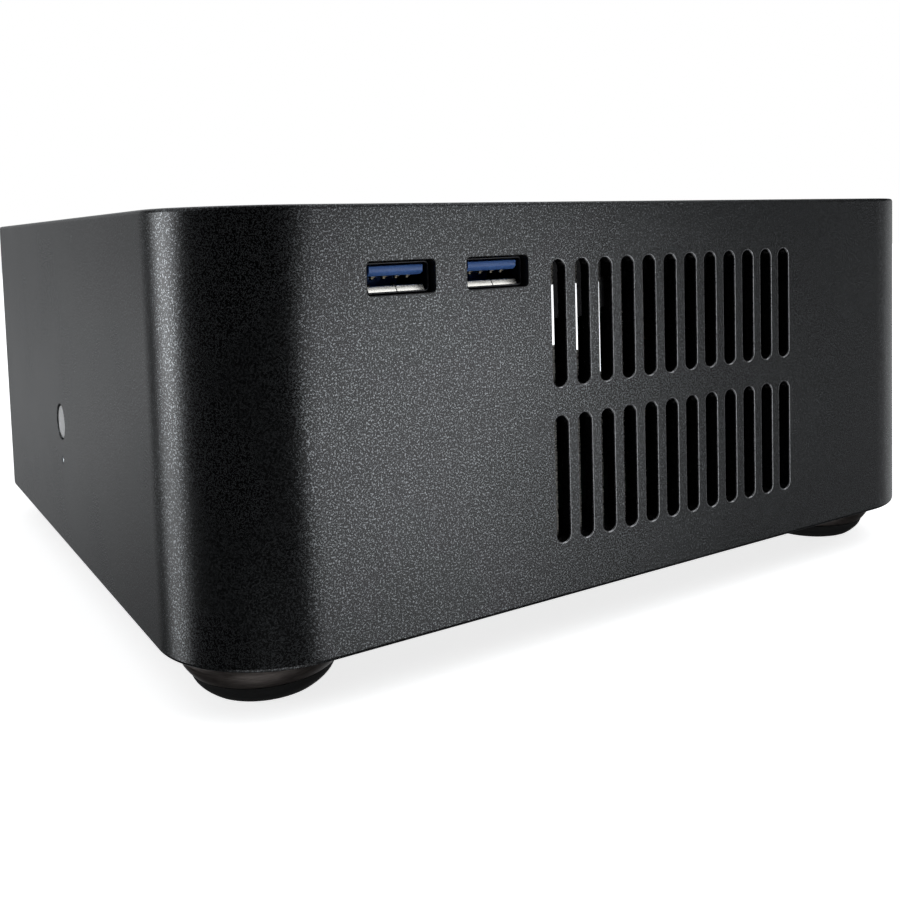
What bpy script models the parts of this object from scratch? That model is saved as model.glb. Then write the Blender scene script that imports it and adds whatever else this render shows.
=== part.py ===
"""Mini PC: an aluminium ring case on round feet, with its boards, cooler, memory, drive and ports.

Metres, +Z up. The origin is at the centre of the footprint, on the surface the feet stand on.
The front panel faces -Y, and the power button is on the -X side.
"""

from math import cos, pi, radians, sin

import bmesh
import bpy
from mathutils import Matrix

MM = 0.001
GAP = 0.3 * MM                      # clearance between neighbouring solids

# Case
CASE_W = 200 * MM
CASE_D = 202 * MM
CASE_H = 80 * MM
CORNER_R = 23.3 * MM
WALL = 2.5 * MM
EDGE_CHAMFER = 0.7 * MM
CORNER_STEPS = 12
POST_R = 3.5 * MM
PLATE_T = 2.0 * MM
PLATE_RECESS = 0.5 * MM

# Feet
FOOT_H = 10 * MM
FOOT_R = 16.0 * MM
FOOT_SHOULDER = 2.6 * MM            # height of the straight band under the case
FOOT_SEAM_Z = 3.9 * MM              # where the metal ring ends and the rubber starts
FOOT_SEAM_R = 14.2 * MM
PAD_R = 10.8 * MM
FOOT_X = CASE_W / 2 - 20.0 * MM
FOOT_Y = CASE_D / 2 - 23.6 * MM
FOOT_STEPS = 24
FOOT_STUD_R = 1.9 * MM
FOOT_STUD_TOP = 15.5 * MM
FOOT_CAVITY_R = 11.3 * MM
FOOT_CAVITY_TOP = 7.0 * MM

# Flush socket screws of the cover and the bottom plate
SCREW_HEAD_R = 2.75 * MM
SCREW_SOCKET_R = 1.1 * MM

# Vent slots in the front panel
SLOT_W = 3.4 * MM
SLOT_PITCH = 6.06 * MM
SLOT_COLUMNS = 12
SLOT_FIRST_X = -24.6 * MM           # centre line of the column nearest the ports
SLOT_ROWS = ((11.3 * MM, 37.1 * MM), (43.0 * MM, 68.5 * MM))    # above the case's lower edge
SLOT_END_STEPS = 4

# Punched grille behind the front panel's slots, one sheet with the port bracket
GRILLE_BAR = 0.5 * MM
GRILLE_LEAD = 0.6 * MM              # from a slot's centre line to the centre of its bar
GRILLE_EDGE = 3.0 * MM              # frame left round the bars

# Front ports
PORT_X = (-60.0 * MM, -39.0 * MM)
PORT_Z = 66.65 * MM                 # above the case's lower edge
PORT_CUT = (14.0 * MM, 6.1 * MM)
PORT_SHELL = (13.1 * MM, 5.7 * MM)
PORT_DEPTH = 17.0 * MM
PORT_SHEET = 0.35 * MM
PORT_RECESS = 0.9 * MM
PORT_CUT_R = 0.8 * MM
TONGUE_W = 11.1 * MM
TONGUE_RECESS = 1.2 * MM
TONGUE_HEIGHTS = (0.35 * MM, 2.2 * MM)      # from the port's middle
TONGUE_BLOCK = 5 * MM               # depth of the insulator behind the tongue
PORT_BOARD_DEPTH = 17 * MM
PORT_BOARD_ENDS = (14 * MM, 8.5 * MM)       # board past the outer ports' middles

# Power button and indicator, on the -X side
BUTTON_Y = 1.0 * MM
BUTTON_Z = 30.9 * MM                # above the case's lower edge
BUTTON_R = 4.1 * MM
BUTTON_HOLE_R = 4.4 * MM
BUTTON_FACE = 0.2 * MM              # how far the cap sits inside the case's outer face
BUTTON_FLANGE_R = 5.2 * MM
BUTTON_STEM_R = 1.8 * MM
BUTTON_STEM_END = 7.1 * MM
HOLDER_R = 7.0 * MM
HOLDER_END = 12.0 * MM
SWITCH = 6.2 * MM
SWITCH_FRONT = 8.4 * MM
LED_Z = 21.4 * MM
LED_R = 0.8 * MM
LED_FLANGE_R = 1.4 * MM

# Main board: a 170 mm square
BOARD = 170 * MM
BOARD_T = 1.6 * MM
BOARD_HOLES = (78.74 * MM, 77.47 * MM)      # half the hole spacing in X and Y
STANDOFF_H = 5.9 * MM

# Rear connector opening, the standard 158.75 x 44.45 mm
REAR_CUT = (158.75 * MM, 44.45 * MM)
REAR_CUT_Z = 18.5 * MM
SHIELD_T = 0.8 * MM
SHIELD_RECESS = 1.2 * MM            # shield's outer face, inside the connectors' ends
REAR_PORTS = {
    # name: (centre x, width, height, depth)
    "video_port": (-52 * MM, 16.5 * MM, 7.0 * MM, 14 * MM),
    "rear_usb_stack": (-22 * MM, 14.6 * MM, 15.8 * MM, 18 * MM),
    "lan_jack": (12 * MM, 16.2 * MM, 13.6 * MM, 21 * MM),
    "audio_jacks": (52 * MM, 13.0 * MM, 34.0 * MM, 14 * MM),
}
PORT_BACK = 2.5 * MM                # solid behind each recess
REAR_VENT_FIRST_X = -60 * MM
REAR_VENT_Z = 75 * MM
REAR_VENT_L = 14 * MM

# Vent slots of the cover and the bottom plate, over and under the cooler
COVER_VENT_L = 26 * MM
COVER_VENT_ROWS = (-15.5 * MM, 15.5 * MM)
PLATE_VENT_L = 40 * MM

# Cooler
COOLER = 80 * MM
COOLER_X = 5 * MM
COOLER_Y = 35 * MM
FIN_COUNT = 21
FAN_T = 15 * MM
FAN_BORE_R = 37.6 * MM
BLADE_COUNT = 7
BLADE_SWEEP = radians(34)
BLADE_T = 1.1 * MM
HUB_R = 15.5 * MM
SOCKET = 42 * MM
SOCKET_H = 3 * MM
SPREADER = 32 * MM
SPREADER_H = 2.2 * MM
SINK_H = 27 * MM
SINK_BASE = 5 * MM
FIN_T = 1.2 * MM

# Memory
MEMORY_X = (58 * MM, 68 * MM)
MEMORY_FRONT = -66 * MM
MODULE_L = 133.35 * MM
MODULE_H = 31.25 * MM
LATCH_Y = -68.6 * MM
LATCH_Z = 24.6 * MM
MEMORY_SOCKET_W = 8 * MM
MEMORY_SOCKET_H = 8.5 * MM

# Drive and its bracket, under the cover
DRIVE = (100.2 * MM, 69.85 * MM, 7 * MM)
DRIVE_AT = (-42 * MM, -43.5 * MM, 69.6 * MM)
SHEET = 1.2 * MM
BRACKET_TAB = 9 * MM

# Chipset cooler, power header and the converter board plugged into it
CHIPSET = (28 * MM, 28 * MM, 9 * MM)
CHIPSET_AT = (-8 * MM, -40 * MM)
HEADER = (6 * MM, 51 * MM, 10 * MM)
HEADER_AT = (80 * MM, -5 * MM)
CONVERTER = (5.2 * MM, 56 * MM, 24 * MM)

# Power inlet in the rear wall
INLET_X = 62 * MM
INLET_Z = 76 * MM
INLET_R = 4.0 * MM
INLET_BORE_R = 2.8 * MM
INLET_FLANGE_R = 6.2 * MM

# Derived levels and faces
BASE_Z = FOOT_H
TOP_Z = BASE_Z + CASE_H
FRONT_Y = -CASE_D / 2
REAR_Y = CASE_D / 2
SIDE_X = CASE_W / 2
REAR_FACE = REAR_Y - 0.9 * MM       # outer end of the rear connectors
PLATE_LOW = BASE_Z + PLATE_RECESS
PLATE_TOP = PLATE_LOW + PLATE_T
COVER_TOP = TOP_Z - PLATE_RECESS
COVER_LOW = COVER_TOP - PLATE_T
BOARD_LOW = PLATE_TOP + STANDOFF_H + 2 * GAP
BOARD_TOP = BOARD_LOW + BOARD_T
BOARD_REAR = REAR_Y - WALL - 2.5 * MM
BOARD_Y = BOARD_REAR - BOARD / 2
SEAT_Z = BOARD_TOP + GAP            # underside of whatever is soldered to the board
POST_REACH = CORNER_R - WALL - POST_R + 0.6 * MM
POST_X = SIDE_X - CORNER_R + POST_REACH * cos(pi / 4)
POST_Y = REAR_Y - CORNER_R + POST_REACH * sin(pi / 4)

CORNERS = {
    "front_left": (-1, -1),
    "front_right": (1, -1),
    "rear_left": (-1, 1),
    "rear_right": (1, 1),
}

ALONG_X = Matrix.Rotation(pi / 2, 4, "Y")           # turns +Z to +X
ALONG_Y = Matrix.Rotation(-pi / 2, 4, "X")          # turns +Z to +Y
ALONG_MINUS_Y = Matrix.Rotation(pi / 2, 4, "X")     # turns +Z to -Y
# An outline drawn as (Y, Z) and extruded along X, and one drawn as (X, Z) along Y
SIDE_PROFILE = Matrix(((0, 0, 1, 0), (1, 0, 0, 0), (0, 1, 0, 0), (0, 0, 0, 1)))
FRONT_PROFILE = Matrix(((1, 0, 0, 0), (0, 0, 1, 0), (0, 1, 0, 0), (0, 0, 0, 1)))


# ---------------------------------------------------------------- helpers

def clear_scene():
    for obj in list(bpy.data.objects):
        bpy.data.objects.remove(obj, do_unlink=True)


def material(name, colour, roughness, metallic=0.0):
    made = bpy.data.materials.new(name)
    made.use_nodes = True
    shader = made.node_tree.nodes["Principled BSDF"]
    shader.inputs["Base Color"].default_value = (*colour, 1)
    shader.inputs["Roughness"].default_value = roughness
    shader.inputs["Metallic"].default_value = metallic
    return made


def rounded_outline(half_x, half_y, radius, steps, centre=(0, 0)):
    """Points of a rounded rectangle, anticlockwise, with each corner as an arc."""
    points = []
    quarters = ((1, -1, -90), (1, 1, 0), (-1, 1, 90), (-1, -1, 180))
    for sign_x, sign_y, start in quarters:
        for step in range(steps + 1):
            angle = radians(start + 90 * step / steps)
            x = sign_x * (half_x - radius) + radius * cos(angle)
            y = sign_y * (half_y - radius) + radius * sin(angle)
            points.append((centre[0] + x, centre[1] + y))
    return points


def rectangle(low_x, low_y, high_x, high_y):
    return [(low_x, low_y), (high_x, low_y), (high_x, high_y), (low_x, high_y)]


def circle(radius, steps, centre=(0, 0), phase=0.0):
    return [
        (
            centre[0] + radius * cos(phase + 2 * pi * step / steps),
            centre[1] + radius * sin(phase + 2 * pi * step / steps),
        )
        for step in range(steps)
    ]


def slot_outline(width, length, centre):
    """A slot along Y with half-round ends."""
    radius = width / 2
    straight = length / 2 - radius
    points = []
    for sign, start in ((1, 0), (-1, 180)):
        for step in range(SLOT_END_STEPS + 1):
            angle = radians(start + 180 * step / SLOT_END_STEPS)
            x = radius * cos(angle)
            y = sign * straight + radius * sin(angle)
            points.append((centre[0] + x, centre[1] + y))
    return points


def add_prism(mesh, outline, low, high):
    """A closed prism with the outline as its section, from z = low to high."""
    bottom = [mesh.verts.new((x, y, low)) for x, y in outline]
    top = [mesh.verts.new((x, y, high)) for x, y in outline]
    mesh.faces.new(list(reversed(bottom)))
    mesh.faces.new(top)
    bridge(mesh, bottom, top)


def bridge(mesh, lower, upper):
    count = len(lower)
    for i in range(count):
        j = (i + 1) % count
        mesh.faces.new((lower[i], lower[j], upper[j], upper[i]))


def add_loops(mesh, loops):
    """A closed band through the loops, the last one joined to the first."""
    rings = [[mesh.verts.new(point) for point in loop] for loop in loops]
    for i, ring in enumerate(rings):
        bridge(mesh, ring, rings[(i + 1) % len(rings)])


def add_turned(mesh, profile, steps):
    """Turns (radius, z) points round Z. Points on the axis become single vertices."""
    rings = []
    for radius, z in profile:
        if radius == 0:
            rings.append([mesh.verts.new((0, 0, z))])
        else:
            rings.append([mesh.verts.new((x, y, z)) for x, y in circle(radius, steps)])
    pairs = list(zip(rings, rings[1:]))
    if len(rings[0]) > 1:
        pairs.append((rings[-1], rings[0]))
    for lower, upper in pairs:
        for i in range(steps):
            j = (i + 1) % steps
            corners = [lower[i % len(lower)], lower[j % len(lower)]]
            corners += [upper[j % len(upper)], upper[i % len(upper)]]
            unique = list(dict.fromkeys(corners))
            if len(unique) > 2:
                mesh.faces.new(unique)


def finish(name, mesh, look, location=(0, 0, 0), turn=None):
    """Makes a named object of the bmesh, faces out, round parts smooth."""
    if turn is not None:
        mesh.transform(turn)
    bmesh.ops.recalc_face_normals(mesh, faces=mesh.faces)
    data = bpy.data.meshes.new(name)
    mesh.to_mesh(data)
    mesh.free()
    data.materials.append(look)
    data.shade_smooth()
    data.set_sharp_from_angle(angle=radians(40))
    obj = bpy.data.objects.new(name, data)
    obj.location = location
    bpy.context.scene.collection.objects.link(obj)
    return obj


def prism_object(name, look, outline, low, high, location=(0, 0, 0), turn=None):
    mesh = bmesh.new()
    add_prism(mesh, outline, low, high)
    return finish(name, mesh, look, location, turn)


def turned_object(name, look, profile, steps, location=(0, 0, 0), turn=None):
    mesh = bmesh.new()
    add_turned(mesh, profile, steps)
    return finish(name, mesh, look, location, turn)


def box_object(name, look, size, centre):
    half_x, half_y, half_z = (side / 2 for side in size)
    outline = rectangle(-half_x, -half_y, half_x, half_y)
    return prism_object(name, look, outline, -half_z, half_z, centre)


def combine(target, other, operation):
    """Keeps the other object as a hidden helper of a Boolean on the target."""
    other.hide_render = True
    other.display_type = "WIRE"
    modifier = target.modifiers.new(other.name, "BOOLEAN")
    modifier.operation = operation
    modifier.solver = "EXACT"
    modifier.object = other


def cut_prisms(target, look, name, outlines, low, high, location=(0, 0, 0), turn=None):
    """Cuts one straight hole for each outline."""
    mesh = bmesh.new()
    for outline in outlines:
        add_prism(mesh, outline, low, high)
    combine(target, finish(name, mesh, look, location, turn), "DIFFERENCE")


def hang_on(parent_name, location, children):
    """Parents the objects to an empty that sits on their joint's axis."""
    pivot = bpy.data.objects.new(parent_name, None)
    pivot.location = location
    bpy.context.scene.collection.objects.link(pivot)
    for child in children:
        child.location = (0, 0, 0)
        child.parent = pivot


# ---------------------------------------------------------------- case

def slot_grid():
    """Outlines of the front vent slots, in X and height above the case's lower edge."""
    outlines = []
    for low, high in SLOT_ROWS:
        for column in range(SLOT_COLUMNS):
            x = SLOT_FIRST_X + column * SLOT_PITCH
            outlines.append(slot_outline(SLOT_W, high - low, (x, (low + high) / 2)))
    return outlines


def build_case_shell(look):
    """The one-piece ring of front, sides and rear, with its four screw posts."""
    def loop(inset, z):
        half_x = SIDE_X - inset
        half_y = REAR_Y - inset
        outline = rounded_outline(half_x, half_y, CORNER_R - inset, CORNER_STEPS)
        return [(x, y, z) for x, y in outline]

    mesh = bmesh.new()
    add_loops(mesh, [
        loop(WALL, BASE_Z),
        loop(EDGE_CHAMFER, BASE_Z),
        loop(0, BASE_Z + EDGE_CHAMFER),
        loop(0, TOP_Z - EDGE_CHAMFER),
        loop(EDGE_CHAMFER, TOP_Z),
        loop(WALL, TOP_Z),
    ])
    shell = finish("case_shell", mesh, look)

    for name, (sign_x, sign_y) in CORNERS.items():
        post = prism_object(
            f"post_{name}", look, circle(POST_R, 12), PLATE_TOP + GAP, COVER_LOW - GAP,
            (sign_x * POST_X, sign_y * POST_Y, 0),
        )
        combine(shell, post, "UNION")

    depth = 2 * WALL
    front = (0, FRONT_Y + WALL / 2, BASE_Z)
    # A prism along -Y keeps its outline's X and takes its Y as height.
    cut_prisms(shell, look, "vent_cutter", slot_grid(), -depth, depth, front, ALONG_MINUS_Y)
    ports = [
        rounded_outline(PORT_CUT[0] / 2, PORT_CUT[1] / 2, PORT_CUT_R, 3, (x, PORT_Z))
        for x in PORT_X
    ]
    cut_prisms(shell, look, "port_cutter", ports, -depth, depth, front, ALONG_MINUS_Y)

    rear = (0, REAR_Y - WALL / 2, 0)
    opening = rounded_outline(
        REAR_CUT[0] / 2, REAR_CUT[1] / 2, 1.5 * MM, 3, (0, REAR_CUT_Z + REAR_CUT[1] / 2)
    )
    inlet = circle(INLET_R + GAP, 20, (INLET_X, INLET_Z))
    vents = [
        slot_outline(SLOT_W, REAR_VENT_L, (REAR_VENT_FIRST_X + column * SLOT_PITCH, REAR_VENT_Z))
        for column in range(SLOT_COLUMNS)
    ]
    cut_prisms(shell, look, "rear_cutter", [opening, inlet, *vents], -depth, depth, rear,
               ALONG_MINUS_Y)

    wall_x = -SIDE_X + WALL / 2
    button = circle(BUTTON_HOLE_R, 24)
    cut_prisms(shell, look, "button_cutter", [button], -depth, depth,
               (wall_x, BUTTON_Y, BASE_Z + BUTTON_Z), ALONG_X)
    led = circle(LED_R + GAP / 2, 12)
    cut_prisms(shell, look, "led_cutter", [led], -depth, depth,
               (wall_x, BUTTON_Y, BASE_Z + LED_Z), ALONG_X)


def plate_outline():
    inset = WALL + GAP
    return rounded_outline(SIDE_X - inset, REAR_Y - inset, CORNER_R - inset, CORNER_STEPS)


def screw_holes(radius):
    return [
        circle(radius, 12, (sign_x * POST_X, sign_y * POST_Y))
        for sign_x, sign_y in CORNERS.values()
    ]


def build_top_cover(look):
    cover = prism_object("top_cover", look, plate_outline(), COVER_LOW, COVER_TOP)
    half = (SLOT_COLUMNS - 1) / 2
    vents = [
        slot_outline(SLOT_W, COVER_VENT_L,
                     (COOLER_X + (column - half) * SLOT_PITCH, COOLER_Y + row))
        for row in COVER_VENT_ROWS
        for column in range(SLOT_COLUMNS)
    ]
    cut_prisms(cover, look, "cover_cutter", [*vents, *screw_holes(SCREW_HEAD_R + GAP)],
               COVER_LOW - MM, COVER_TOP + MM)


def build_bottom_plate(look):
    plate = prism_object("bottom_plate", look, plate_outline(), PLATE_LOW, PLATE_TOP)
    studs = [
        circle(FOOT_STUD_R + GAP, 12, (sign_x * FOOT_X, sign_y * FOOT_Y))
        for sign_x, sign_y in CORNERS.values()
    ]
    half = (SLOT_COLUMNS - 1) / 2
    vents = [
        slot_outline(SLOT_W, PLATE_VENT_L,
                     (COOLER_X + (column - half) * 2 * SLOT_PITCH, COOLER_Y))
        for column in range(SLOT_COLUMNS)
    ]
    cut_prisms(plate, look, "plate_cutter", [*vents, *studs, *screw_holes(SCREW_HEAD_R + GAP)],
               PLATE_LOW - MM, PLATE_TOP + MM)


def build_flush_screws(look):
    """Socket screws whose heads fill the plates' holes, four above and four below."""
    head_t = PLATE_T - 0.2 * MM
    edge = 0.3 * MM
    socket_depth = 1.2 * MM
    profile = [
        (0, 0), (SCREW_HEAD_R - edge, 0), (SCREW_HEAD_R, edge), (SCREW_HEAD_R, head_t),
        (0, head_t),
    ]
    for name, (sign_x, sign_y) in CORNERS.items():
        for prefix, z, turn in (
            ("cover_screw", COVER_TOP, Matrix.Rotation(pi, 4, "X")),
            ("base_screw", PLATE_LOW, Matrix.Identity(4)),
        ):
            at = (sign_x * POST_X, sign_y * POST_Y, z)
            screw = turned_object(f"{prefix}_{name}", look, profile, 16, at, turn)
            cut_prisms(screw, look, f"{prefix}_{name}_socket", [circle(SCREW_SOCKET_R, 6)],
                       -MM, socket_depth, at, turn)


# ---------------------------------------------------------------- feet

def curve_between(start, end, bulge, steps):
    """(radius, z) points from start to end on a shallow outward curve."""
    points = []
    for step in range(steps + 1):
        t = step / steps
        radius = start[0] + (end[0] - start[0]) * t + bulge * 4 * t * (1 - t)
        points.append((radius, start[1] + (end[1] - start[1]) * t))
    return points


def build_feet(metal, rubber):
    """A turned ring with its threaded stud, and a domed rubber pad plugged into it."""
    top = BASE_Z - GAP + 0.1 * MM
    shoulder = (FOOT_R, top - FOOT_SHOULDER)
    ring = [(0, FOOT_CAVITY_TOP), (FOOT_CAVITY_R, FOOT_CAVITY_TOP), (FOOT_CAVITY_R, FOOT_SEAM_Z)]
    ring += curve_between((FOOT_SEAM_R, FOOT_SEAM_Z), shoulder, 0.25 * MM, 3)
    ring += [(FOOT_R, top - 0.3 * MM), (FOOT_R - 0.3 * MM, top), (FOOT_STUD_R, top)]
    ring += [(FOOT_STUD_R, FOOT_STUD_TOP), (0, FOOT_STUD_TOP)]

    seam = FOOT_SEAM_Z - 0.2 * MM
    pad = [(0, 0)]
    pad += curve_between((PAD_R, 0), (FOOT_SEAM_R - 0.4 * MM, seam), 0.6 * MM, 3)
    pad += [(FOOT_CAVITY_R - GAP, seam), (FOOT_CAVITY_R - GAP, FOOT_CAVITY_TOP - 1 * MM)]
    pad += [(0, FOOT_CAVITY_TOP - 1 * MM)]

    for name, (sign_x, sign_y) in CORNERS.items():
        at = (sign_x * FOOT_X, sign_y * FOOT_Y, 0)
        turned_object(f"foot_ring_{name}", metal, ring, FOOT_STEPS, at)
        turned_object(f"foot_pad_{name}", rubber, pad, FOOT_STEPS, at)


# ---------------------------------------------------------------- power button

def build_power_button(metal, plastic, clear):
    """Turned along +X from the case's outer side. Distances are from that outer face."""
    at = (-SIDE_X, BUTTON_Y, BASE_Z + BUTTON_Z)
    inner = WALL + GAP
    edge = 0.4 * MM
    cap = [
        (0, BUTTON_FACE), (BUTTON_R - edge, BUTTON_FACE), (BUTTON_R, BUTTON_FACE + edge),
        (BUTTON_R, inner), (BUTTON_FLANGE_R, inner), (BUTTON_FLANGE_R, inner + MM),
        (BUTTON_STEM_R, inner + MM), (BUTTON_STEM_R, BUTTON_STEM_END), (0, BUTTON_STEM_END),
    ]
    button = turned_object("power_button", metal, cap, 24, turn=ALONG_X)
    hang_on("power_button_axis", at, [button])

    # The holder's cup takes the flange, its neck guides the stem and its end holds the switch.
    cup_r = BUTTON_FLANGE_R + 0.4 * MM
    neck_r = BUTTON_STEM_R + GAP
    neck = (6.2 * MM, 7.2 * MM)
    pocket_r = 4.7 * MM
    holder = [
        (cup_r, inner), (HOLDER_R, inner), (HOLDER_R, HOLDER_END), (pocket_r, HOLDER_END),
        (pocket_r, neck[1]), (neck_r, neck[1]), (neck_r, neck[0]), (cup_r, neck[0]),
    ]
    turned_object("button_holder", plastic, holder, 16, at, ALONG_X)
    half = SWITCH / 2
    prism_object("power_switch", plastic, rectangle(-half, -half, half, half),
                 SWITCH_FRONT, HOLDER_END, at, ALONG_X)

    lens_end = WALL + 2 * MM
    lens = [
        (0, BUTTON_FACE), (LED_R, BUTTON_FACE), (LED_R, inner), (LED_FLANGE_R, inner),
        (LED_FLANGE_R, lens_end), (0, lens_end),
    ]
    turned_object("led_lens", clear, lens, 12, (-SIDE_X, BUTTON_Y, BASE_Z + LED_Z), ALONG_X)


# ---------------------------------------------------------------- front ports

def port_shell(name, look, at):
    """A folded steel cup, open at the front."""
    half_x, half_z = PORT_SHELL[0] / 2, PORT_SHELL[1] / 2
    outline = rounded_outline(half_x, half_z, 0.5 * MM, 2)
    shell = prism_object(name, look, outline, -PORT_DEPTH, 0, at, ALONG_MINUS_Y)
    hollow = rounded_outline(half_x - PORT_SHEET, half_z - PORT_SHEET, 0.25 * MM, 2)
    cut_prisms(shell, look, f"{name}_hollow", [hollow], -PORT_DEPTH + PORT_SHEET, MM, at,
               ALONG_MINUS_Y)


def port_tongue(name, look, at):
    """The insulator at the back of the shell with the contact tongue in its upper half."""
    play = PORT_SHEET + GAP / 2
    half_x = PORT_SHELL[0] / 2 - play
    half_z = PORT_SHELL[1] / 2 - play
    back = -PORT_DEPTH + play
    front = -PORT_DEPTH + TONGUE_BLOCK
    block = prism_object(name, look, rectangle(-half_x, -half_z, half_x, half_z), back, front, at,
                         ALONG_MINUS_Y)
    low, high = TONGUE_HEIGHTS
    blade = prism_object(f"{name}_blade", look,
                         rectangle(-TONGUE_W / 2, low, TONGUE_W / 2, high),
                         front - MM, -TONGUE_RECESS, at, ALONG_MINUS_Y)
    combine(block, blade, "UNION")


def build_front_ports(steel, blue, board_look):
    z = BASE_Z + PORT_Z
    for side, x in zip(("left", "right"), PORT_X):
        at = (x, FRONT_Y + PORT_RECESS, z)
        port_shell(f"front_usb_shell_{side}", steel, at)
        port_tongue(f"front_usb_tongue_{side}", blue, at)

    inner = FRONT_Y + WALL + GAP
    board_top = z - PORT_SHELL[1] / 2 - GAP
    board_low = board_top - BOARD_T
    low_x = PORT_X[0] - PORT_BOARD_ENDS[0]
    high_x = PORT_X[1] + PORT_BOARD_ENDS[1]
    rear = inner + PORT_BOARD_DEPTH
    prism_object("front_usb_board", board_look,
                 rectangle(low_x, inner + SHEET + GAP, high_x, rear), board_low, board_top)
    shelf = board_low - GAP
    foot = shelf - 12 * MM
    profile = [
        (inner, foot), (inner + SHEET, foot), (inner + SHEET, shelf - SHEET),
        (rear, shelf - SHEET), (rear, shelf), (inner, shelf),
    ]
    bracket = prism_object("front_usb_bracket", steel, profile, low_x - MM, high_x + MM,
                           turn=SIDE_PROFILE)
    add_vent_grille(bracket, steel, high_x)


def add_vent_grille(bracket, look, low_x):
    """Extends the bracket's sheet behind the front slots, with one narrow bar behind each."""
    low_z = BASE_Z + SLOT_ROWS[0][0] - GRILLE_EDGE
    high_z = BASE_Z + SLOT_ROWS[-1][1] + GRILLE_EDGE
    high_x = SLOT_FIRST_X + (SLOT_COLUMNS - 0.5) * SLOT_PITCH + GRILLE_EDGE
    front = (0, FRONT_Y + WALL + GAP, 0)
    sheet = prism_object("grille_sheet", look, rectangle(low_x, low_z, high_x, high_z),
                         -SHEET, 0, front, ALONG_MINUS_Y)
    combine(bracket, sheet, "UNION")
    windows = []
    for column in range(SLOT_COLUMNS):
        bar_x = SLOT_FIRST_X + column * SLOT_PITCH + GRILLE_LEAD
        start = bar_x + GRILLE_BAR / 2
        end = start + SLOT_PITCH - GRILLE_BAR
        windows.append(rectangle(start, low_z + GRILLE_EDGE, end, high_z - GRILLE_EDGE))
    first_bar = SLOT_FIRST_X + GRILLE_LEAD - GRILLE_BAR / 2
    windows.append(rectangle(low_x + MM, low_z + GRILLE_EDGE, first_bar, high_z - GRILLE_EDGE))
    cut_prisms(bracket, look, "grille_windows", windows, -SHEET - MM, MM, front, ALONG_MINUS_Y)


# ---------------------------------------------------------------- main board

def board_hole_centres():
    # The rear pair of holes is 10.16 mm from the board's rear edge.
    middle = BOARD_REAR - 10.16 * MM - BOARD_HOLES[1]
    return {
        name: (sign_x * BOARD_HOLES[0], middle + sign_y * BOARD_HOLES[1])
        for name, (sign_x, sign_y) in CORNERS.items()
    }


def build_board(board_look, brass, steel):
    half = BOARD / 2
    outline = rounded_outline(half, half, 1.5 * MM, 2, (0, BOARD_Y))
    board = prism_object("motherboard", board_look, outline, BOARD_LOW, BOARD_TOP)
    hole_r = 1.95 * MM
    holes = [circle(hole_r, 10, at) for at in board_hole_centres().values()]
    cut_prisms(board, board_look, "board_cutter", holes, BOARD_LOW - MM, BOARD_TOP + MM)

    low = PLATE_TOP + GAP
    high = BOARD_LOW - GAP
    bore_r, outer_r, thread_r = 1.8 * MM, 3.0 * MM, 1.5 * MM
    sleeve = [(bore_r, low), (outer_r, low), (outer_r, high), (bore_r, high)]
    head = BOARD_TOP + GAP
    rim, crown = head + 1.2 * MM, head + 1.9 * MM
    screw = [
        (0, low + MM), (thread_r, low + MM), (thread_r, head), (outer_r, head),
        (outer_r, rim), (2.2 * MM, crown), (0, crown),
    ]
    for name, (x, y) in board_hole_centres().items():
        turned_object(f"standoff_{name}", brass, sleeve, 12, (x, y, 0))
        turned_object(f"board_screw_{name}", steel, screw, 12, (x, y, 0))


def build_processor(plastic, nickel):
    at = (COOLER_X, COOLER_Y, 0)
    half = SOCKET / 2
    prism_object("cpu_socket", plastic, rounded_outline(half, half, 1.5 * MM, 2),
                 SEAT_Z, SEAT_Z + SOCKET_H, at)
    low = SEAT_Z + SOCKET_H + GAP
    half = SPREADER / 2
    prism_object("processor", nickel, rounded_outline(half, half, 2 * MM, 2),
                 low, low + SPREADER_H, at)
    return low + SPREADER_H + GAP


def build_heatsink(aluminium, low):
    """A comb of fins on a base, extruded along Y."""
    half = COOLER / 2
    pitch = (COOLER - FIN_T) / (FIN_COUNT - 1)
    profile = [(-half, 0), (half, 0)]
    for i in reversed(range(FIN_COUNT)):
        left = -half + i * pitch
        profile += [(left + FIN_T, SINK_H), (left, SINK_H)]
        if i:
            profile += [(left, SINK_BASE), (left - pitch + FIN_T, SINK_BASE)]
    prism_object("heatsink", aluminium, profile, -half, half, (COOLER_X, COOLER_Y, low),
                 FRONT_PROFILE)
    return low + SINK_H + GAP


def star_outline(hub_r, tip_r, half_width, arms):
    """A hub with straight arms, as one outline."""
    points = []
    for arm in range(arms):
        middle = 2 * pi * arm / arms + pi / 4
        edge = half_width / hub_r
        for radius, offset in ((hub_r, -edge), (tip_r, -half_width / tip_r),
                               (tip_r, half_width / tip_r), (hub_r, edge)):
            points.append((radius * cos(middle + offset), radius * sin(middle + offset)))
        for step in range(1, 4):
            angle = middle + edge + (2 * pi / arms - 2 * edge) * step / 4
            points.append((hub_r * cos(angle), hub_r * sin(angle)))
    return points


def add_blade(mesh, angle, root_r, tip_r, low, high):
    """One twisted fan blade: a thin curved slab from the hub to near the bore."""
    spans = 3
    lean = radians(12)
    sections = []
    for span in range(spans + 1):
        t = span / spans
        radius = root_r + (tip_r - root_r) * t
        start = angle + lean * t
        end = start + BLADE_SWEEP
        corners = ((start, low), (end, high - BLADE_T), (end, high), (start, low + BLADE_T))
        sections.append([
            mesh.verts.new((radius * cos(turn), radius * sin(turn), z)) for turn, z in corners
        ])
    mesh.faces.new(list(reversed(sections[0])))
    mesh.faces.new(sections[-1])
    for inner, outer in zip(sections, sections[1:]):
        bridge(mesh, inner, outer)


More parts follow.
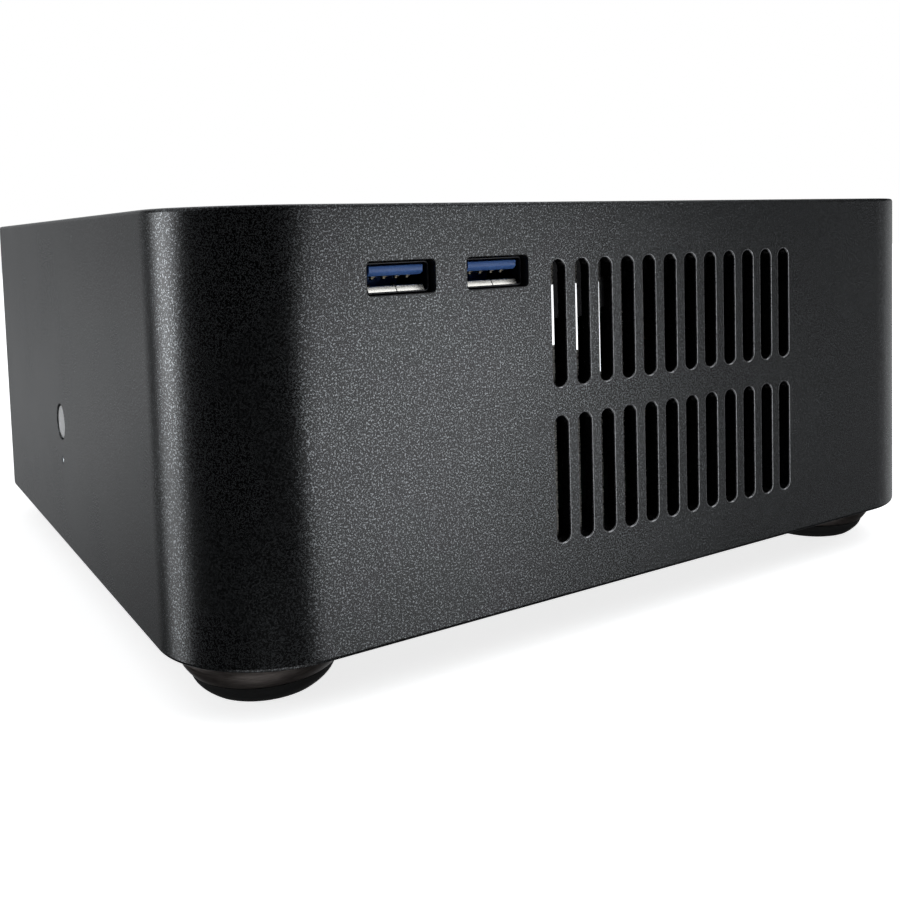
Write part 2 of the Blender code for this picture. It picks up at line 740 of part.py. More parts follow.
def build_fan(plastic, low):
    """A slim square fan on the heatsink. The rotor turns about Z."""
    at = (COOLER_X, COOLER_Y, low)
    half = COOLER / 2
    frame = prism_object("fan_frame", plastic, rounded_outline(half, half, 4 * MM, 4), 0, FAN_T, at)
    cut_prisms(frame, plastic, "fan_bore", [circle(FAN_BORE_R, 40)], -MM, FAN_T + MM, at)
    corner = half - 4.2 * MM
    hole_r = 2.1 * MM
    holes = [circle(hole_r, 10, (x, y)) for x in (-corner, corner) for y in (-corner, corner)]
    cut_prisms(frame, plastic, "fan_screw_holes", holes, -MM, FAN_T + MM, at)
    star = star_outline(15 * MM, FAN_BORE_R + MM, 1.6 * MM, 4)
    plate_top = 2.4 * MM
    motor_plate = prism_object("fan_motor_plate", plastic, star, 0.2 * MM, plate_top, at)
    combine(frame, motor_plate, "UNION")

    hub_low = plate_top + 0.5 * MM
    hub_top = FAN_T - 0.8 * MM
    hub = [(0, hub_low), (HUB_R, hub_low), (HUB_R, hub_top - MM), (HUB_R - MM, hub_top),
           (0, hub_top)]
    rotor = turned_object("fan_rotor", plastic, hub, 28)
    mesh = bmesh.new()
    for blade in range(BLADE_COUNT):
        add_blade(mesh, 2 * pi * blade / BLADE_COUNT, HUB_R - MM, FAN_BORE_R - 0.9 * MM,
                  hub_low + 0.3 * MM, hub_top - 0.6 * MM)
    blades = finish("fan_blades", mesh, plastic)
    hang_on("fan_axis", at, [rotor, blades])
    combine(rotor, blades, "UNION")


# ---------------------------------------------------------------- memory

def build_memory(plastic, board_look):
    """Two sockets along Y, each with a module and a latch hinged at its front end."""
    rear = MEMORY_FRONT + MODULE_L + 4 * MM
    socket_top = SEAT_Z + MEMORY_SOCKET_H
    floor = SEAT_Z + 3 * MM
    half = MEMORY_SOCKET_W / 2
    groove_half, pocket_half = 0.95 * MM, 3.3 * MM
    board_half, chip_half = 0.65 * MM, 1.9 * MM
    for side, x in zip(("left", "right"), MEMORY_X):
        name = f"memory_slot_{side}"
        socket = prism_object(name, plastic,
                              rectangle(x - half, MEMORY_FRONT - 5 * MM, x + half, rear),
                              SEAT_Z, socket_top)
        groove = rectangle(x - groove_half, MEMORY_FRONT + 1.5 * MM, x + groove_half,
                           rear - 2 * MM)
        cut_prisms(socket, plastic, f"{name}_groove", [groove], floor, socket_top + MM)
        pocket = rectangle(x - pocket_half, MEMORY_FRONT - 6 * MM, x + pocket_half, MEMORY_FRONT)
        cut_prisms(socket, plastic, f"{name}_pocket", [pocket], SEAT_Z + 1.2 * MM,
                   socket_top + 2 * MM)

        low = floor + GAP
        high = low + MODULE_H
        shoulder = socket_top + MM
        module = [
            (x - board_half, low), (x + board_half, low), (x + board_half, shoulder),
            (x + chip_half, shoulder), (x + chip_half, high), (x - chip_half, high),
            (x - chip_half, shoulder), (x - board_half, shoulder),
        ]
        front = MEMORY_FRONT + 1.8 * MM
        prism_object(f"memory_module_{side}", board_look, module, front, front + MODULE_L,
                     turn=FRONT_PROFILE)

        # The latch's outline is (Y, Z) about its hinge, rounded under the pivot.
        root_r = 2.0 * MM
        root = [
            (root_r * cos(radians(a)), root_r * sin(radians(a))) for a in range(180, 361, 30)
        ]
        latch = [*root, (root_r, 12 * MM), (0.4 * MM, 16 * MM), (0.4 * MM, 20 * MM),
                 (-3.2 * MM, 22 * MM), (-3.2 * MM, 20 * MM), (-2.0 * MM, 19 * MM)]
        lever = prism_object(f"memory_latch_{side}", plastic, latch, -2.9 * MM, 2.9 * MM,
                             turn=SIDE_PROFILE)
        hang_on(f"memory_latch_{side}_axis", (x, LATCH_Y, LATCH_Z), [lever])


# ---------------------------------------------------------------- rear connectors

def port_recesses():
    """For each rear connector, its openings and tongues. Heights run down, as the turn asks."""
    def box(width, low, high):
        return rectangle(-width / 2, -high * MM, width / 2, -low * MM)

    return {
        "video_port": ([box(14.6 * MM, 1.0, 6.0)], [box(11.2 * MM, 3.2, 4.0)]),
        "rear_usb_stack": (
            [box(12.6 * MM, 1.4, 6.6), box(12.6 * MM, 9.1, 14.3)],
            [box(11.2 * MM, 4.3, 6.1), box(11.2 * MM, 12.0, 13.8)],
        ),
        "lan_jack": ([box(11.9 * MM, 2.8, 11.2)], []),
        "audio_jacks": (
            [circle(1.8 * MM, 12, (0, -height * MM)) for height in (6.5, 17.0, 27.5)], [],
        ),
    }


def build_rear_ports(looks):
    recesses = port_recesses()
    for name, (x, width, height, depth) in REAR_PORTS.items():
        at = (x, REAR_FACE, SEAT_Z)
        body = rectangle(-width / 2, -height, width / 2, 0)
        port = prism_object(name, looks[name], body, -depth, 0, at, ALONG_Y)
        openings, tongues = recesses[name]
        cut_prisms(port, looks[name], f"{name}_recesses", openings, -depth + PORT_BACK, MM, at,
                   ALONG_Y)
        for index, tongue in enumerate(tongues):
            blade = prism_object(f"{name}_tongue_{index}", looks[name], tongue,
                                 -depth + PORT_BACK / 2, -1.5 * MM, at, ALONG_Y)
            combine(port, blade, "UNION")


def build_io_shield(steel):
    low_z = REAR_CUT_Z + GAP
    high_z = REAR_CUT_Z + REAR_CUT[1] - GAP
    half_x = REAR_CUT[0] / 2 - GAP
    middle_z = (low_z + high_z) / 2
    outline = rounded_outline(half_x, (high_z - low_z) / 2, 1.3 * MM, 3, (0, -middle_z))
    at = (0, REAR_FACE - SHIELD_RECESS, 0)
    shield = prism_object("io_shield", steel, outline, -SHIELD_T, 0, at, ALONG_Y)
    holes = []
    for x, width, height, _ in REAR_PORTS.values():
        low = SEAT_Z - GAP
        high = SEAT_Z + height + GAP
        holes.append(rectangle(x - width / 2 - GAP, -high, x + width / 2 + GAP, -low))
    cut_prisms(shield, steel, "shield_cutter", holes, -SHIELD_T - MM, MM, at, ALONG_Y)


def build_power_inlet(plastic):
    """A panel socket: barrel, flange outside the wall's inner face and a centre pin."""
    outer = -0.4 * MM
    inner = -WALL - GAP
    flange_end = inner - 2.5 * MM
    bore_end = -9 * MM
    end = -14 * MM
    profile = [
        (0, bore_end), (INLET_BORE_R, bore_end), (INLET_BORE_R, outer), (INLET_R, outer),
        (INLET_R, inner), (INLET_FLANGE_R, inner), (INLET_FLANGE_R, flange_end),
        (INLET_R, flange_end), (INLET_R, end), (0, end),
    ]
    at = (INLET_X, REAR_Y, INLET_Z)
    inlet = turned_object("power_inlet", plastic, profile, 16, at, ALONG_Y)
    pin = prism_object("inlet_pin", plastic, circle(1.0 * MM, 10), bore_end - MM, -2 * MM, at,
                       ALONG_Y)
    combine(inlet, pin, "UNION")


# ---------------------------------------------------------------- drive and power parts

def build_drive(metal):
    outline = rounded_outline(DRIVE[0] / 2, DRIVE[1] / 2, 2.5 * MM, 3)
    prism_object("drive", metal, outline, -DRIVE[2] / 2, DRIVE[2] / 2, DRIVE_AT)

    half_y = DRIVE[1] / 2 + GAP
    floor = DRIVE_AT[2] - DRIVE[2] / 2 - GAP
    top = COVER_LOW - GAP
    outer_y = half_y + SHEET
    tab_y = outer_y - BRACKET_TAB
    profile = [
        (-outer_y, floor - SHEET), (outer_y, floor - SHEET), (outer_y, top), (tab_y, top),
        (tab_y, top - SHEET), (half_y, top - SHEET), (half_y, floor), (-half_y, floor),
        (-half_y, top - SHEET), (-tab_y, top - SHEET), (-tab_y, top), (-outer_y, top),
    ]
    half_x = DRIVE[0] / 2 - 4 * MM
    prism_object("drive_bracket", metal, profile, -half_x, half_x, (DRIVE_AT[0], DRIVE_AT[1], 0),
                 SIDE_PROFILE)


def build_board_parts(aluminium, plastic, board_look):
    """The chipset cooler, the power header and the converter board plugged into it."""
    prism_object("chipset_heatsink", aluminium,
                 rounded_outline(CHIPSET[0] / 2, CHIPSET[1] / 2, 1.5 * MM, 2),
                 SEAT_Z, SEAT_Z + CHIPSET[2], (*CHIPSET_AT, 0))
    box_object("power_header", plastic, HEADER, (*HEADER_AT, SEAT_Z + HEADER[2] / 2))
    box_object("power_converter", board_look, CONVERTER,
               (*HEADER_AT, SEAT_Z + HEADER[2] + GAP + CONVERTER[2] / 2))


def main():
    clear_scene()
    black = material("black_anodised", (0.020, 0.020, 0.022), 0.42, 0.6)
    foot_metal = material("foot_metal", (0.16, 0.14, 0.13), 0.38, 0.9)
    rubber = material("black_rubber", (0.012, 0.012, 0.012), 0.8)
    silver = material("silver_metal", (0.70, 0.70, 0.70), 0.3, 1.0)
    steel = material("plated_steel", (0.60, 0.59, 0.56), 0.3, 1.0)
    dark_screw = material("black_screw", (0.03, 0.03, 0.03), 0.35, 0.9)
    plastic = material("black_plastic", (0.02, 0.02, 0.02), 0.5)
    blue = material("blue_plastic", (0.03, 0.09, 0.42), 0.4)
    clear = material("lens_plastic", (0.75, 0.78, 0.80), 0.2)
    board_look = material("circuit_board", (0.012, 0.05, 0.028), 0.45)
    brass = material("brass", (0.62, 0.45, 0.18), 0.35, 1.0)
    aluminium = material("aluminium", (0.62, 0.62, 0.63), 0.35, 1.0)
    drive_metal = material("drive_metal", (0.10, 0.10, 0.11), 0.4, 0.8)

    build_case_shell(black)
    build_top_cover(black)
    build_bottom_plate(black)
    build_flush_screws(dark_screw)
    build_feet(foot_metal, rubber)
    build_power_button(silver, plastic, clear)
    build_front_ports(steel, blue, board_look)
    build_board(board_look, brass, steel)
    sink_low = build_processor(plastic, steel)
    fan_low = build_heatsink(aluminium, sink_low)
    build_fan(plastic, fan_low)
    build_memory(plastic, board_look)
    build_rear_ports({
        "video_port": steel, "rear_usb_stack": steel, "lan_jack": steel, "audio_jacks": plastic,
    })
    build_io_shield(steel)
    build_power_inlet(plastic)
    build_drive(drive_metal)
    build_board_parts(aluminium, plastic, board_look)


main()
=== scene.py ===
"""Finished looks of the mini PC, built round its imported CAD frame. Metres, +Z up.

The front panel faces -Y and the power button is on the -X side.
"""

from math import cos, pi, radians, sin

import bmesh
import bpy
from mathutils import Matrix, Vector


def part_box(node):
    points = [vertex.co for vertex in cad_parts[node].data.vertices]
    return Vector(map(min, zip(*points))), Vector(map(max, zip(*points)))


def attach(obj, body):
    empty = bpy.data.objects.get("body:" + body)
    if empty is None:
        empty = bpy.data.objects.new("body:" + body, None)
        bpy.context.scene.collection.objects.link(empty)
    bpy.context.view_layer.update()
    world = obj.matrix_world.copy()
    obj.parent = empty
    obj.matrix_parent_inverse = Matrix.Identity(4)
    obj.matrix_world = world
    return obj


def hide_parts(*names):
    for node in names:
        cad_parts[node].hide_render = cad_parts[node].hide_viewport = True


MM = 0.001
GAP = 0.3 * MM
SIGNS = (-1, 1)
SIDES = ("left", "right")
CORNERS = ("front_left", "front_right", "rear_left", "rear_right")

# Camera
CAMERA_AT = (-0.1481, -0.2599, 0.0846)
YAW = radians(33.10)
PITCH = radians(-3.90)
ROLL = radians(-1.62)
SENSOR_MM = 36
LENS_MM = 40.41
LENS_SHIFT = (-0.0278, -0.1667)

# Case
CORNER_R = 23.3 * MM
WALL = 2.5 * MM
EDGE = 0.7 * MM
INNER_EDGE = 0.12 * MM
PLATE_EDGE = 0.3 * MM
CORNER_STEPS = 40
POST_R = 3.5 * MM
POST_PLACES = [(x * 89.39 * MM, y * 90.39 * MM) for x in SIGNS for y in SIGNS]
SCREW_HOLE_R = 3.05 * MM
FOOT_HOLE_R = 2.2 * MM
RIM = 0.28 * MM                     # rounding of the edges of every opening
RIM_STEPS = 4

# Edges steeper than this are shaded sharp
SHARP = radians(8)
SHARP_SHIELD = radians(12)
SHARP_TURNED = radians(25)
SHARP_SMALL = radians(30)
SHARP_BLADES = radians(35)

# Openings of the front panel
SLOT_W = 3.4 * MM
SLOT_PITCH = 6.06 * MM
SLOT_COLUMNS = 12
SLOT_FIRST_X = -24.6 * MM
SLOT_ROWS = ((21.3 * MM, 47.1 * MM), (53.0 * MM, 78.5 * MM))
SLOT_END_STEPS = 20
PORT_CUT = (14.0 * MM, 6.1 * MM)
PORT_SHELL = (13.1 * MM, 5.7 * MM)
PORT_DEPTH = 17.0 * MM
PORT_SHEET = 0.35 * MM
PORT_MOUTH = 0.75 * MM              # the shells' mouths, inside their CAD front
TONGUE_W = 11.1 * MM
TONGUE_HEIGHTS = (0.35 * MM, 2.2 * MM)

STRIP_LEADS = (0.42 * MM, 0.40 * MM, 0.29 * MM)     # from a slot's centre line to its strip
STRIP_LOWS = (61.2 * MM, 59.7 * MM, 54.6 * MM)
STRIP_TOP = 73.4 * MM
STRIP_HALF = 0.25 * MM
STRIP_LIFT = 0.12 * MM
SHEET_DEPTH = 2.8 * MM              # the punched sheet's face, behind the front

# Openings of the other sides
BUTTON_HOLE_R = 4.4 * MM
LENS_HOLE_R = 0.95 * MM
INLET_HOLE_R = 4.3 * MM
REAR_SLOTS = (-60 * MM, 75 * MM, 14 * MM)           # first slot's x, middle height and length
TOP_SLOT_ROWS = (-15.5 * MM, 15.5 * MM)
TOP_SLOT_LENGTH = 26 * MM
BASE_SLOT_LENGTH = 40 * MM

# Rear connectors
REAR_NODES = ("video_port", "rear_usb_stack", "lan_jack", "audio_jacks")
SOCKET_BACK = 2.5 * MM
USB_LEVELS = (1.4 * MM, 9.1 * MM)
USB_MOUTH = (12.6 * MM, 5.2 * MM)
AUDIO_HEIGHTS = (6.5 * MM, 17.0 * MM, 27.5 * MM)
SHIELD_EDGE = 0.25 * MM
RIDGE = 0.35 * MM                   # height of its ridges, and the spread of their sides
# Pressed ribs of the rear shield, as (middle x, width)
SHIELD_RIBS = ((-70 * MM, 4 * MM), (-37 * MM, 3 * MM), (-5 * MM, 3 * MM), (32 * MM, 10 * MM),
               (69 * MM, 4 * MM))

# Cooler
COOLER_X = 5 * MM
COOLER_Y = 35 * MM
FAN_BORE_R = 37.6 * MM
HUB_R = 15.5 * MM
BLADE_COUNT = 7
BLADE_SWEEP = radians(34)
BLADE_TWIST = radians(12)

# Feet
FOOT_R = 16.0 * MM
FOOT_SEAM_R = 14.2 * MM
PAD_R = 10.8 * MM
FOOT_CAVITY_R = 11.3 * MM
FOOT_STEPS = 96
FOOT_WALL_STEPS = 10

CHIPS_PER_SIDE = 8

shift = Matrix.Translation

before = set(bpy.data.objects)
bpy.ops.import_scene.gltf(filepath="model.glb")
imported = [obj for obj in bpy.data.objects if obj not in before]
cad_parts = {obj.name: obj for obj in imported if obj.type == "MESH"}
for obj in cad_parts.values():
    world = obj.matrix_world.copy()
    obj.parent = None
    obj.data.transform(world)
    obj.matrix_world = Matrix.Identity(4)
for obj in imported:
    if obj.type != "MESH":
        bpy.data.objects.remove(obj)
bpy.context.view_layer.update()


def middle_of(node):
    low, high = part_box(node)
    return (low + high) / 2


shell_low, shell_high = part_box("case_shell")
SIDE_X = shell_high.x
REAR_Y = shell_high.y
FRONT_Y = shell_low.y
BASE_Z = shell_low.z
TOP_Z = shell_high.z

# Turns from a face's own (across, up, outwards) to the row frame
TO_FRONT = Matrix(((1, 0, 0, 0), (0, 0, -1, 0), (0, 1, 0, 0), (0, 0, 0, 1)))
TO_REAR = Matrix(((1, 0, 0, 0), (0, 0, 1, 0), (0, 1, 0, 0), (0, 0, 0, 1)))
TO_LEFT = Matrix(((0, 0, -1, 0), (1, 0, 0, 0), (0, 1, 0, 0), (0, 0, 0, 1)))
TO_TOP = Matrix.Identity(4)
TO_BELOW = Matrix(((1, 0, 0, 0), (0, 1, 0, 0), (0, 0, -1, 0), (0, 0, 0, 1)))
ON_FRONT = shift((0, FRONT_Y, 0)) @ TO_FRONT
ON_REAR = shift((0, REAR_Y, 0)) @ TO_REAR
ON_LEFT = shift((-SIDE_X, 0, 0)) @ TO_LEFT
# Turns a lathe's axis to point along +X, into the left side
ALONG_X = Matrix(((0, 0, 1, 0), (1, 0, 0, 0), (0, 1, 0, 0), (0, 0, 0, 1)))
# Turns (depth, up, across) to a face's own (across, up, outwards)
INWARDS = Matrix(((0, 0, 1, 0), (0, 1, 0, 0), (-1, 0, 0, 0), (0, 0, 0, 1)))


# ---------------- camera, light and floor

def build_camera():
    """The viewing angle: from the left of the front, a little under the top edge."""
    forward = Vector((sin(YAW) * cos(PITCH), cos(YAW) * cos(PITCH), sin(PITCH)))
    level = Vector((cos(YAW), -sin(YAW), 0))
    upright = level.cross(forward)
    right = cos(ROLL) * level + sin(ROLL) * upright
    up = cos(ROLL) * upright - sin(ROLL) * level
    data = bpy.data.cameras.new("camera")
    data.sensor_width = SENSOR_MM
    data.lens = LENS_MM
    data.shift_x, data.shift_y = LENS_SHIFT
    data.clip_start = 5 * MM
    camera = bpy.data.objects.new("camera", data)
    rotation = Matrix((right, up, -forward)).transposed()
    camera.matrix_world = shift(CAMERA_AT) @ rotation.to_4x4()
    bpy.context.scene.collection.objects.link(camera)
    bpy.context.scene.camera = camera


# Soft lights of the studio, as (azimuth from -Y towards +X, elevation, inner and outer
# half-angle, strength)
STUDIO_BASE = 0.005
STUDIO_LIGHTS = (
    (32, -2, 2, 12, 1.75),
    (24, -5, 2, 10, 0.50),
    (13, -9, 2, 9, 2.1),
    (32, -12, 2, 13, 1.65),
    (20, -17, 2, 11, 1.40),
    (30, -24, 2, 11, 0.50),
    (68, -8, 5, 25, 0.28),
    (-165, 2, 6, 22, 0.27),
    (-162, -13, 4, 15, 0.17),
    (-118, 4, 4, 18, 3.6),
    (-122, -12, 4, 18, 2.1),
    (98, -8, 4, 24, 0.48),
    (150, -22, 10, 40, 0.5),
    (170, 42, 12, 45, 0.6),
    (-30, -58, 15, 34, 0.7),
    (52, 50, 10, 30, 2.2),
    (-110, 48, 10, 40, 0.45),
    (20, 86, 14, 50, 0.45),
)
FLOOR_HALF = 3.0
FLOOR_GLOW = 0.80
# Glow of the indicator lens, standing in for its highlight: a painted highlight
LENS_PAINTED_GLOW = 2.5


def build_studio():
    """A dim room with broad soft lights, white where the camera looks past the object."""
    world = bpy.data.worlds.new("studio")
    bpy.context.scene.world = world
    world.use_nodes = True
    tree = world.node_tree
    tree.nodes.clear()
    towards = add_node(tree, "TexCoord").outputs["Generated"]
    total = STUDIO_BASE
    for azimuth, elevation, inner, outer, strength in STUDIO_LIGHTS:
        a, e = radians(azimuth), radians(elevation)
        aim = (sin(a) * cos(e), -cos(a) * cos(e), sin(e))
        share = add_math(tree, "DOT_PRODUCT", towards, aim, kind="VectorMath", output="Value")
        glow = add_range(tree, share, cos(radians(outer)), cos(radians(inner)), 0.0, strength,
                         interpolation_type="SMOOTHSTEP")
        total = add_math(tree, "ADD", total, glow)
    room = add_node(tree, "Background", {"Strength": total, "Color": (0.96, 0.98, 1.0, 1)})
    white = add_node(tree, "Background", {"Strength": 1.0, "Color": (1, 1, 1, 1)})
    seen = add_node(tree, "LightPath").outputs["Is Camera Ray"]
    mixed = add_node(tree, "MixShader", {0: seen, 1: room.outputs[0], 2: white.outputs[0]})
    add_node(tree, "OutputWorld", {"Surface": mixed.outputs[0]})
    bpy.context.scene.view_settings.view_transform = "Standard"


def build_floor():
    """A plain pale table, big enough to fill every view."""
    mesh = bmesh.new()
    mesh.faces.new([mesh.verts.new((x * FLOOR_HALF, y * FLOOR_HALF, 0)) for x, y in (
        (-1, -1), (1, -1), (1, 1), (-1, 1))])
    floor = make_object("floor", mesh, "pale_floor")
    floor.location.z = -0.02 * MM


# ---------------- material helpers

def new_look(name):
    """A new material with its tree, its shader and the place on the object."""
    look = bpy.data.materials.new(name)
    look.use_nodes = True
    tree = look.node_tree
    place = add_node(tree, "TexCoord").outputs["Object"]
    return look, tree, tree.nodes["Principled BSDF"], place


def set_sockets(node, sockets):
    """Sets each socket to its value: a number, a colour, or another node's output."""
    for key, value in sockets.items():
        if isinstance(value, bpy.types.NodeSocket):
            node.id_data.links.new(value, node.inputs[key])
        else:
            node.inputs[key].default_value = value


def add_node(tree, kind, sockets=None, **settings):
    node = tree.nodes.new("ShaderNode" + kind)
    for name, value in settings.items():
        setattr(node, name, value)
    set_sockets(node, sockets or {})
    return node


def add_math(tree, operation, *values, kind="Math", output=0):
    """Adds a number or vector operation, and returns its result."""
    return add_node(tree, kind, dict(enumerate(values)), operation=operation).outputs[output]


def add_ramp(tree, value, stops):
    """Maps a value to colours given as (position, (r, g, b))."""
    ramp = add_node(tree, "ValToRGB", {"Fac": value})
    elements = ramp.color_ramp.elements
    while len(elements) < len(stops):
        elements.new(0.5)
    for element, (position, colour) in zip(elements, stops):
        element.position = position
        element.color = (*colour, 1)
    return ramp.outputs["Color"]


def add_range(tree, value, low, high, to_low, to_high, **settings):
    return add_node(
        tree, "MapRange",
        {"Value": value, "From Min": low, "From Max": high, "To Min": to_low, "To Max": to_high},
        **settings,
    ).outputs["Result"]


def add_noise(tree, place, size, detail=2.0, stretch=None):
    """Noise whose features are about the given size in metres, longer where stretch is low."""
    if stretch is not None:
        place = add_math(tree, "MULTIPLY", place, stretch, kind="VectorMath")
    noise = add_node(tree, "TexNoise", {"Vector": place, "Scale": 1 / size, "Detail": detail})
    return noise.outputs[0]


def add_sum(tree, first, second, share):
    """first + second * share."""
    return add_math(tree, "MULTIPLY_ADD", second, share, first)


def add_drift(tree, first, second, share):
    """first + (second - 0.5) * share."""
    return add_sum(tree, first, add_range(tree, second, 0, 1, -0.5, 0.5), share)


def add_bump(tree, shader, height, depth):
    bump = add_node(tree, "Bump", {"Height": height, "Distance": depth, "Strength": 1.0})
    set_sockets(shader, {"Normal": bump.outputs["Normal"]})


def grained(name, dark, light, roughness, metallic, grain, relief, stretch=None):
    """A surface with fine grain and a slow drift of tone, which also vary its gloss.

    The grain's size and relief are in millimetres.
    """
    look, tree, shader, place = new_look(name)
    fine = add_noise(tree, place, grain * MM, 2.0, stretch)
    slow = add_noise(tree, place, 18 * MM, 3.0)
    both = add_drift(tree, fine, slow, 0.35)
    colour = add_ramp(tree, both, ((0.35, dark), (0.65, light)))
    gloss = add_range(tree, both, 0.25, 0.75, *roughness)
    set_sockets(shader, {"Base Color": colour, "Roughness": gloss, "Metallic": metallic})
    add_bump(tree, shader, fine, relief * MM)
    return look


# Grained finishes, as grained() takes them
GRAINED_LOOKS = (
    ("black_screw_fine", (0.010, 0.010, 0.011), (0.035, 0.035, 0.037), (0.28, 0.42), 0.8,
     0.2, 0.006),
    ("foot_metal_fine", (0.085, 0.072, 0.068), (0.15, 0.132, 0.122), (0.34, 0.48), 0.85,
     0.5, 0.01, (0.25, 0.25, 3.0)),
    ("black_rubber_fine", (0.004, 0.004, 0.004), (0.012, 0.012, 0.012), (0.62, 0.8), 0.0,
     0.35, 0.03),
    ("plated_steel_fine", (0.60, 0.58, 0.54), (0.76, 0.74, 0.69), (0.24, 0.34), 1.0,
     0.25, 0.002, (0.2, 1.0, 1.0)),
    ("polished", (0.90, 0.90, 0.90), (0.96, 0.96, 0.96), (0.06, 0.12), 1.0,
     0.3, 0.001, (1.0, 1.0, 0.1)),
    # The front ports' shells, darkened from plated steel: painted shade inside the ports
    ("port_shell_painted_shade", (0.030, 0.030, 0.032), (0.060, 0.060, 0.064), (0.26, 0.40), 0.9,
     0.3, 0.004, (0.2, 1.0, 1.5)),
    ("black_plastic_fine", (0.006, 0.006, 0.007), (0.020, 0.020, 0.021), (0.40, 0.56), 0.0,
     0.28, 0.012),
    ("lens_plastic_fine", (0.80, 0.83, 0.86), (0.93, 0.94, 0.95), (0.10, 0.2), 0.0,
     0.4, 0.003),
    ("blue_plastic_fine", (0.11, 0.27, 0.80), (0.16, 0.36, 0.92), (0.30, 0.42), 0.0,
     0.3, 0.005),
    ("aluminium_fine", (0.56, 0.56, 0.57), (0.76, 0.76, 0.77), (0.26, 0.42), 1.0,
     0.35, 0.006, (1.0, 0.08, 1.0)),
    ("brass_fine", (0.50, 0.34, 0.12), (0.70, 0.51, 0.22), (0.25, 0.38), 1.0,
     0.3, 0.005, (0.3, 0.3, 2.0)),
    ("drive_metal_fine", (0.022, 0.022, 0.024), (0.045, 0.045, 0.048), (0.32, 0.46), 0.6,
     0.3, 0.008),
    ("contact_gold", (0.66, 0.48, 0.20), (0.86, 0.66, 0.32), (0.18, 0.3), 1.0,
     0.2, 0.002, (1.0, 0.2, 1.0)),
    # Contacts deep in the front ports, darkened: painted shade
    ("port_contact_painted_shade", (0.13, 0.12, 0.09), (0.24, 0.21, 0.16), (0.30, 0.42), 1.0,
     0.2, 0.003),
    ("jack_green", (0.20, 0.42, 0.12), (0.30, 0.55, 0.18), (0.34, 0.46), 0.0, 0.3, 0.004),
    ("jack_amber", (0.60, 0.30, 0.04), (0.75, 0.42, 0.08), (0.2, 0.3), 0.0, 0.3, 0.004),
    ("jack_blue", (0.10, 0.26, 0.50), (0.15, 0.36, 0.62), (0.34, 0.46), 0.0, 0.3, 0.004),
    ("jack_pink", (0.55, 0.18, 0.26), (0.70, 0.27, 0.36), (0.34, 0.46), 0.0, 0.3, 0.004),
)
MORE_SOCKETS = {
    "black_rubber": {"Specular IOR Level": 0.25},
    # The lens glows: a painted highlight
    "lens_plastic": {"Coat Weight": 0.5, "Emission Color": (0.90, 0.96, 1.0, 1),
                     "Emission Strength": LENS_PAINTED_GLOW},
}


def anodised_look():
    """Fine-blasted black anodised aluminium: dark, with a dense sparkle of metal grains."""
    look, tree, shader, place = new_look("black_anodised_fine")
    grains = add_noise(tree, place, 0.33 * MM, 1.0)
    dust = add_noise(tree, place, 0.16 * MM, 0.0)
    slow = add_noise(tree, place, 26 * MM, 2.0)
    speckle = add_drift(tree, grains, dust, 0.5)
    spark = add_range(tree, speckle, 0.40, 0.72, 0.0, 1.0)
    colour = add_ramp(tree, spark, (
        (0.0, (0.0010, 0.0010, 0.0012)),
        (0.35, (0.014, 0.015, 0.016)),
        (1.0, (0.20, 0.208, 0.215)),
    ))
    gloss = add_sum(tree, add_range(tree, speckle, 0.3, 0.7, 0.27, 0.24),
                    add_range(tree, slow, 0.3, 0.7, -0.5, 0.5), 0.03)
    set_sockets(shader, {"Base Color": colour, "Roughness": gloss, "Metallic": spark})
    add_bump(tree, shader, speckle, 0.012 * MM)
    return look


def edge_look():
    """The wall of an opening: lighter metal on its rounded rim as a painted highlight, and near
    black further in as painted shade.
    """
    look, tree, shader, place = new_look("opening_wall_painted_light")
    parts = add_node(tree, "SeparateXYZ", {"Vector": place})
    outwards = add_math(tree, "ABSOLUTE", parts.outputs["Y"])
    rim = add_range(tree, outwards, REAR_Y - 0.34 * MM, REAR_Y - 0.22 * MM, 0.0, 1.0)
    grain = add_noise(tree, place, 0.3 * MM)
    # Near black further in: painted shade inside the opening
    inner = add_ramp(tree, grain, ((0.3, (0.006, 0.006, 0.007)), (0.7, (0.03, 0.03, 0.032))))
    # Lighter metal on the rim: a painted highlight
    painted_rim_highlight = add_ramp(tree, grain, ((0.3, (0.12, 0.12, 0.125)), (0.7, (0.42, 0.42, 0.43))))
    colour = add_node(tree, "Mix", {"Factor": rim, "A": inner, "B": painted_rim_highlight}, data_type="RGBA")
    gloss = add_range(tree, grain, 0.3, 0.7, 0.24, 0.36)
    set_sockets(shader, {"Base Color": colour.outputs["Result"], "Roughness": gloss,
                         "Metallic": 0.9})
    add_bump(tree, shader, grain, 0.004 * MM)
    return look


def turned_look():
    """The button's metal, turned on a lathe, with fine rings round the button's axis."""
    look, tree, shader, place = new_look("silver_metal_fine")
    offset = add_math(tree, "SUBTRACT", place, middle_of("power_button"), kind="VectorMath")
    flat = add_math(tree, "MULTIPLY", offset, (0, 1, 1), kind="VectorMath")
    radius = add_math(tree, "LENGTH", flat, kind="VectorMath", output="Value")
    rings = add_node(tree, "TexNoise", {"W": radius, "Scale": 1 / (0.16 * MM), "Detail": 3.0},
                     noise_dimensions="1D").outputs[0]
    grit = add_noise(tree, place, 0.25 * MM, 2.0)
    both = add_drift(tree, rings, grit, 0.4)
    colour = add_ramp(tree, both, ((0.3, (0.84, 0.84, 0.84)), (0.7, (0.97, 0.97, 0.97))))
    gloss = add_range(tree, both, 0.3, 0.7, 0.30, 0.40)
    set_sockets(shader, {"Base Color": colour, "Roughness": gloss, "Metallic": 1.0})
    add_bump(tree, shader, both, 0.004 * MM)
    return look


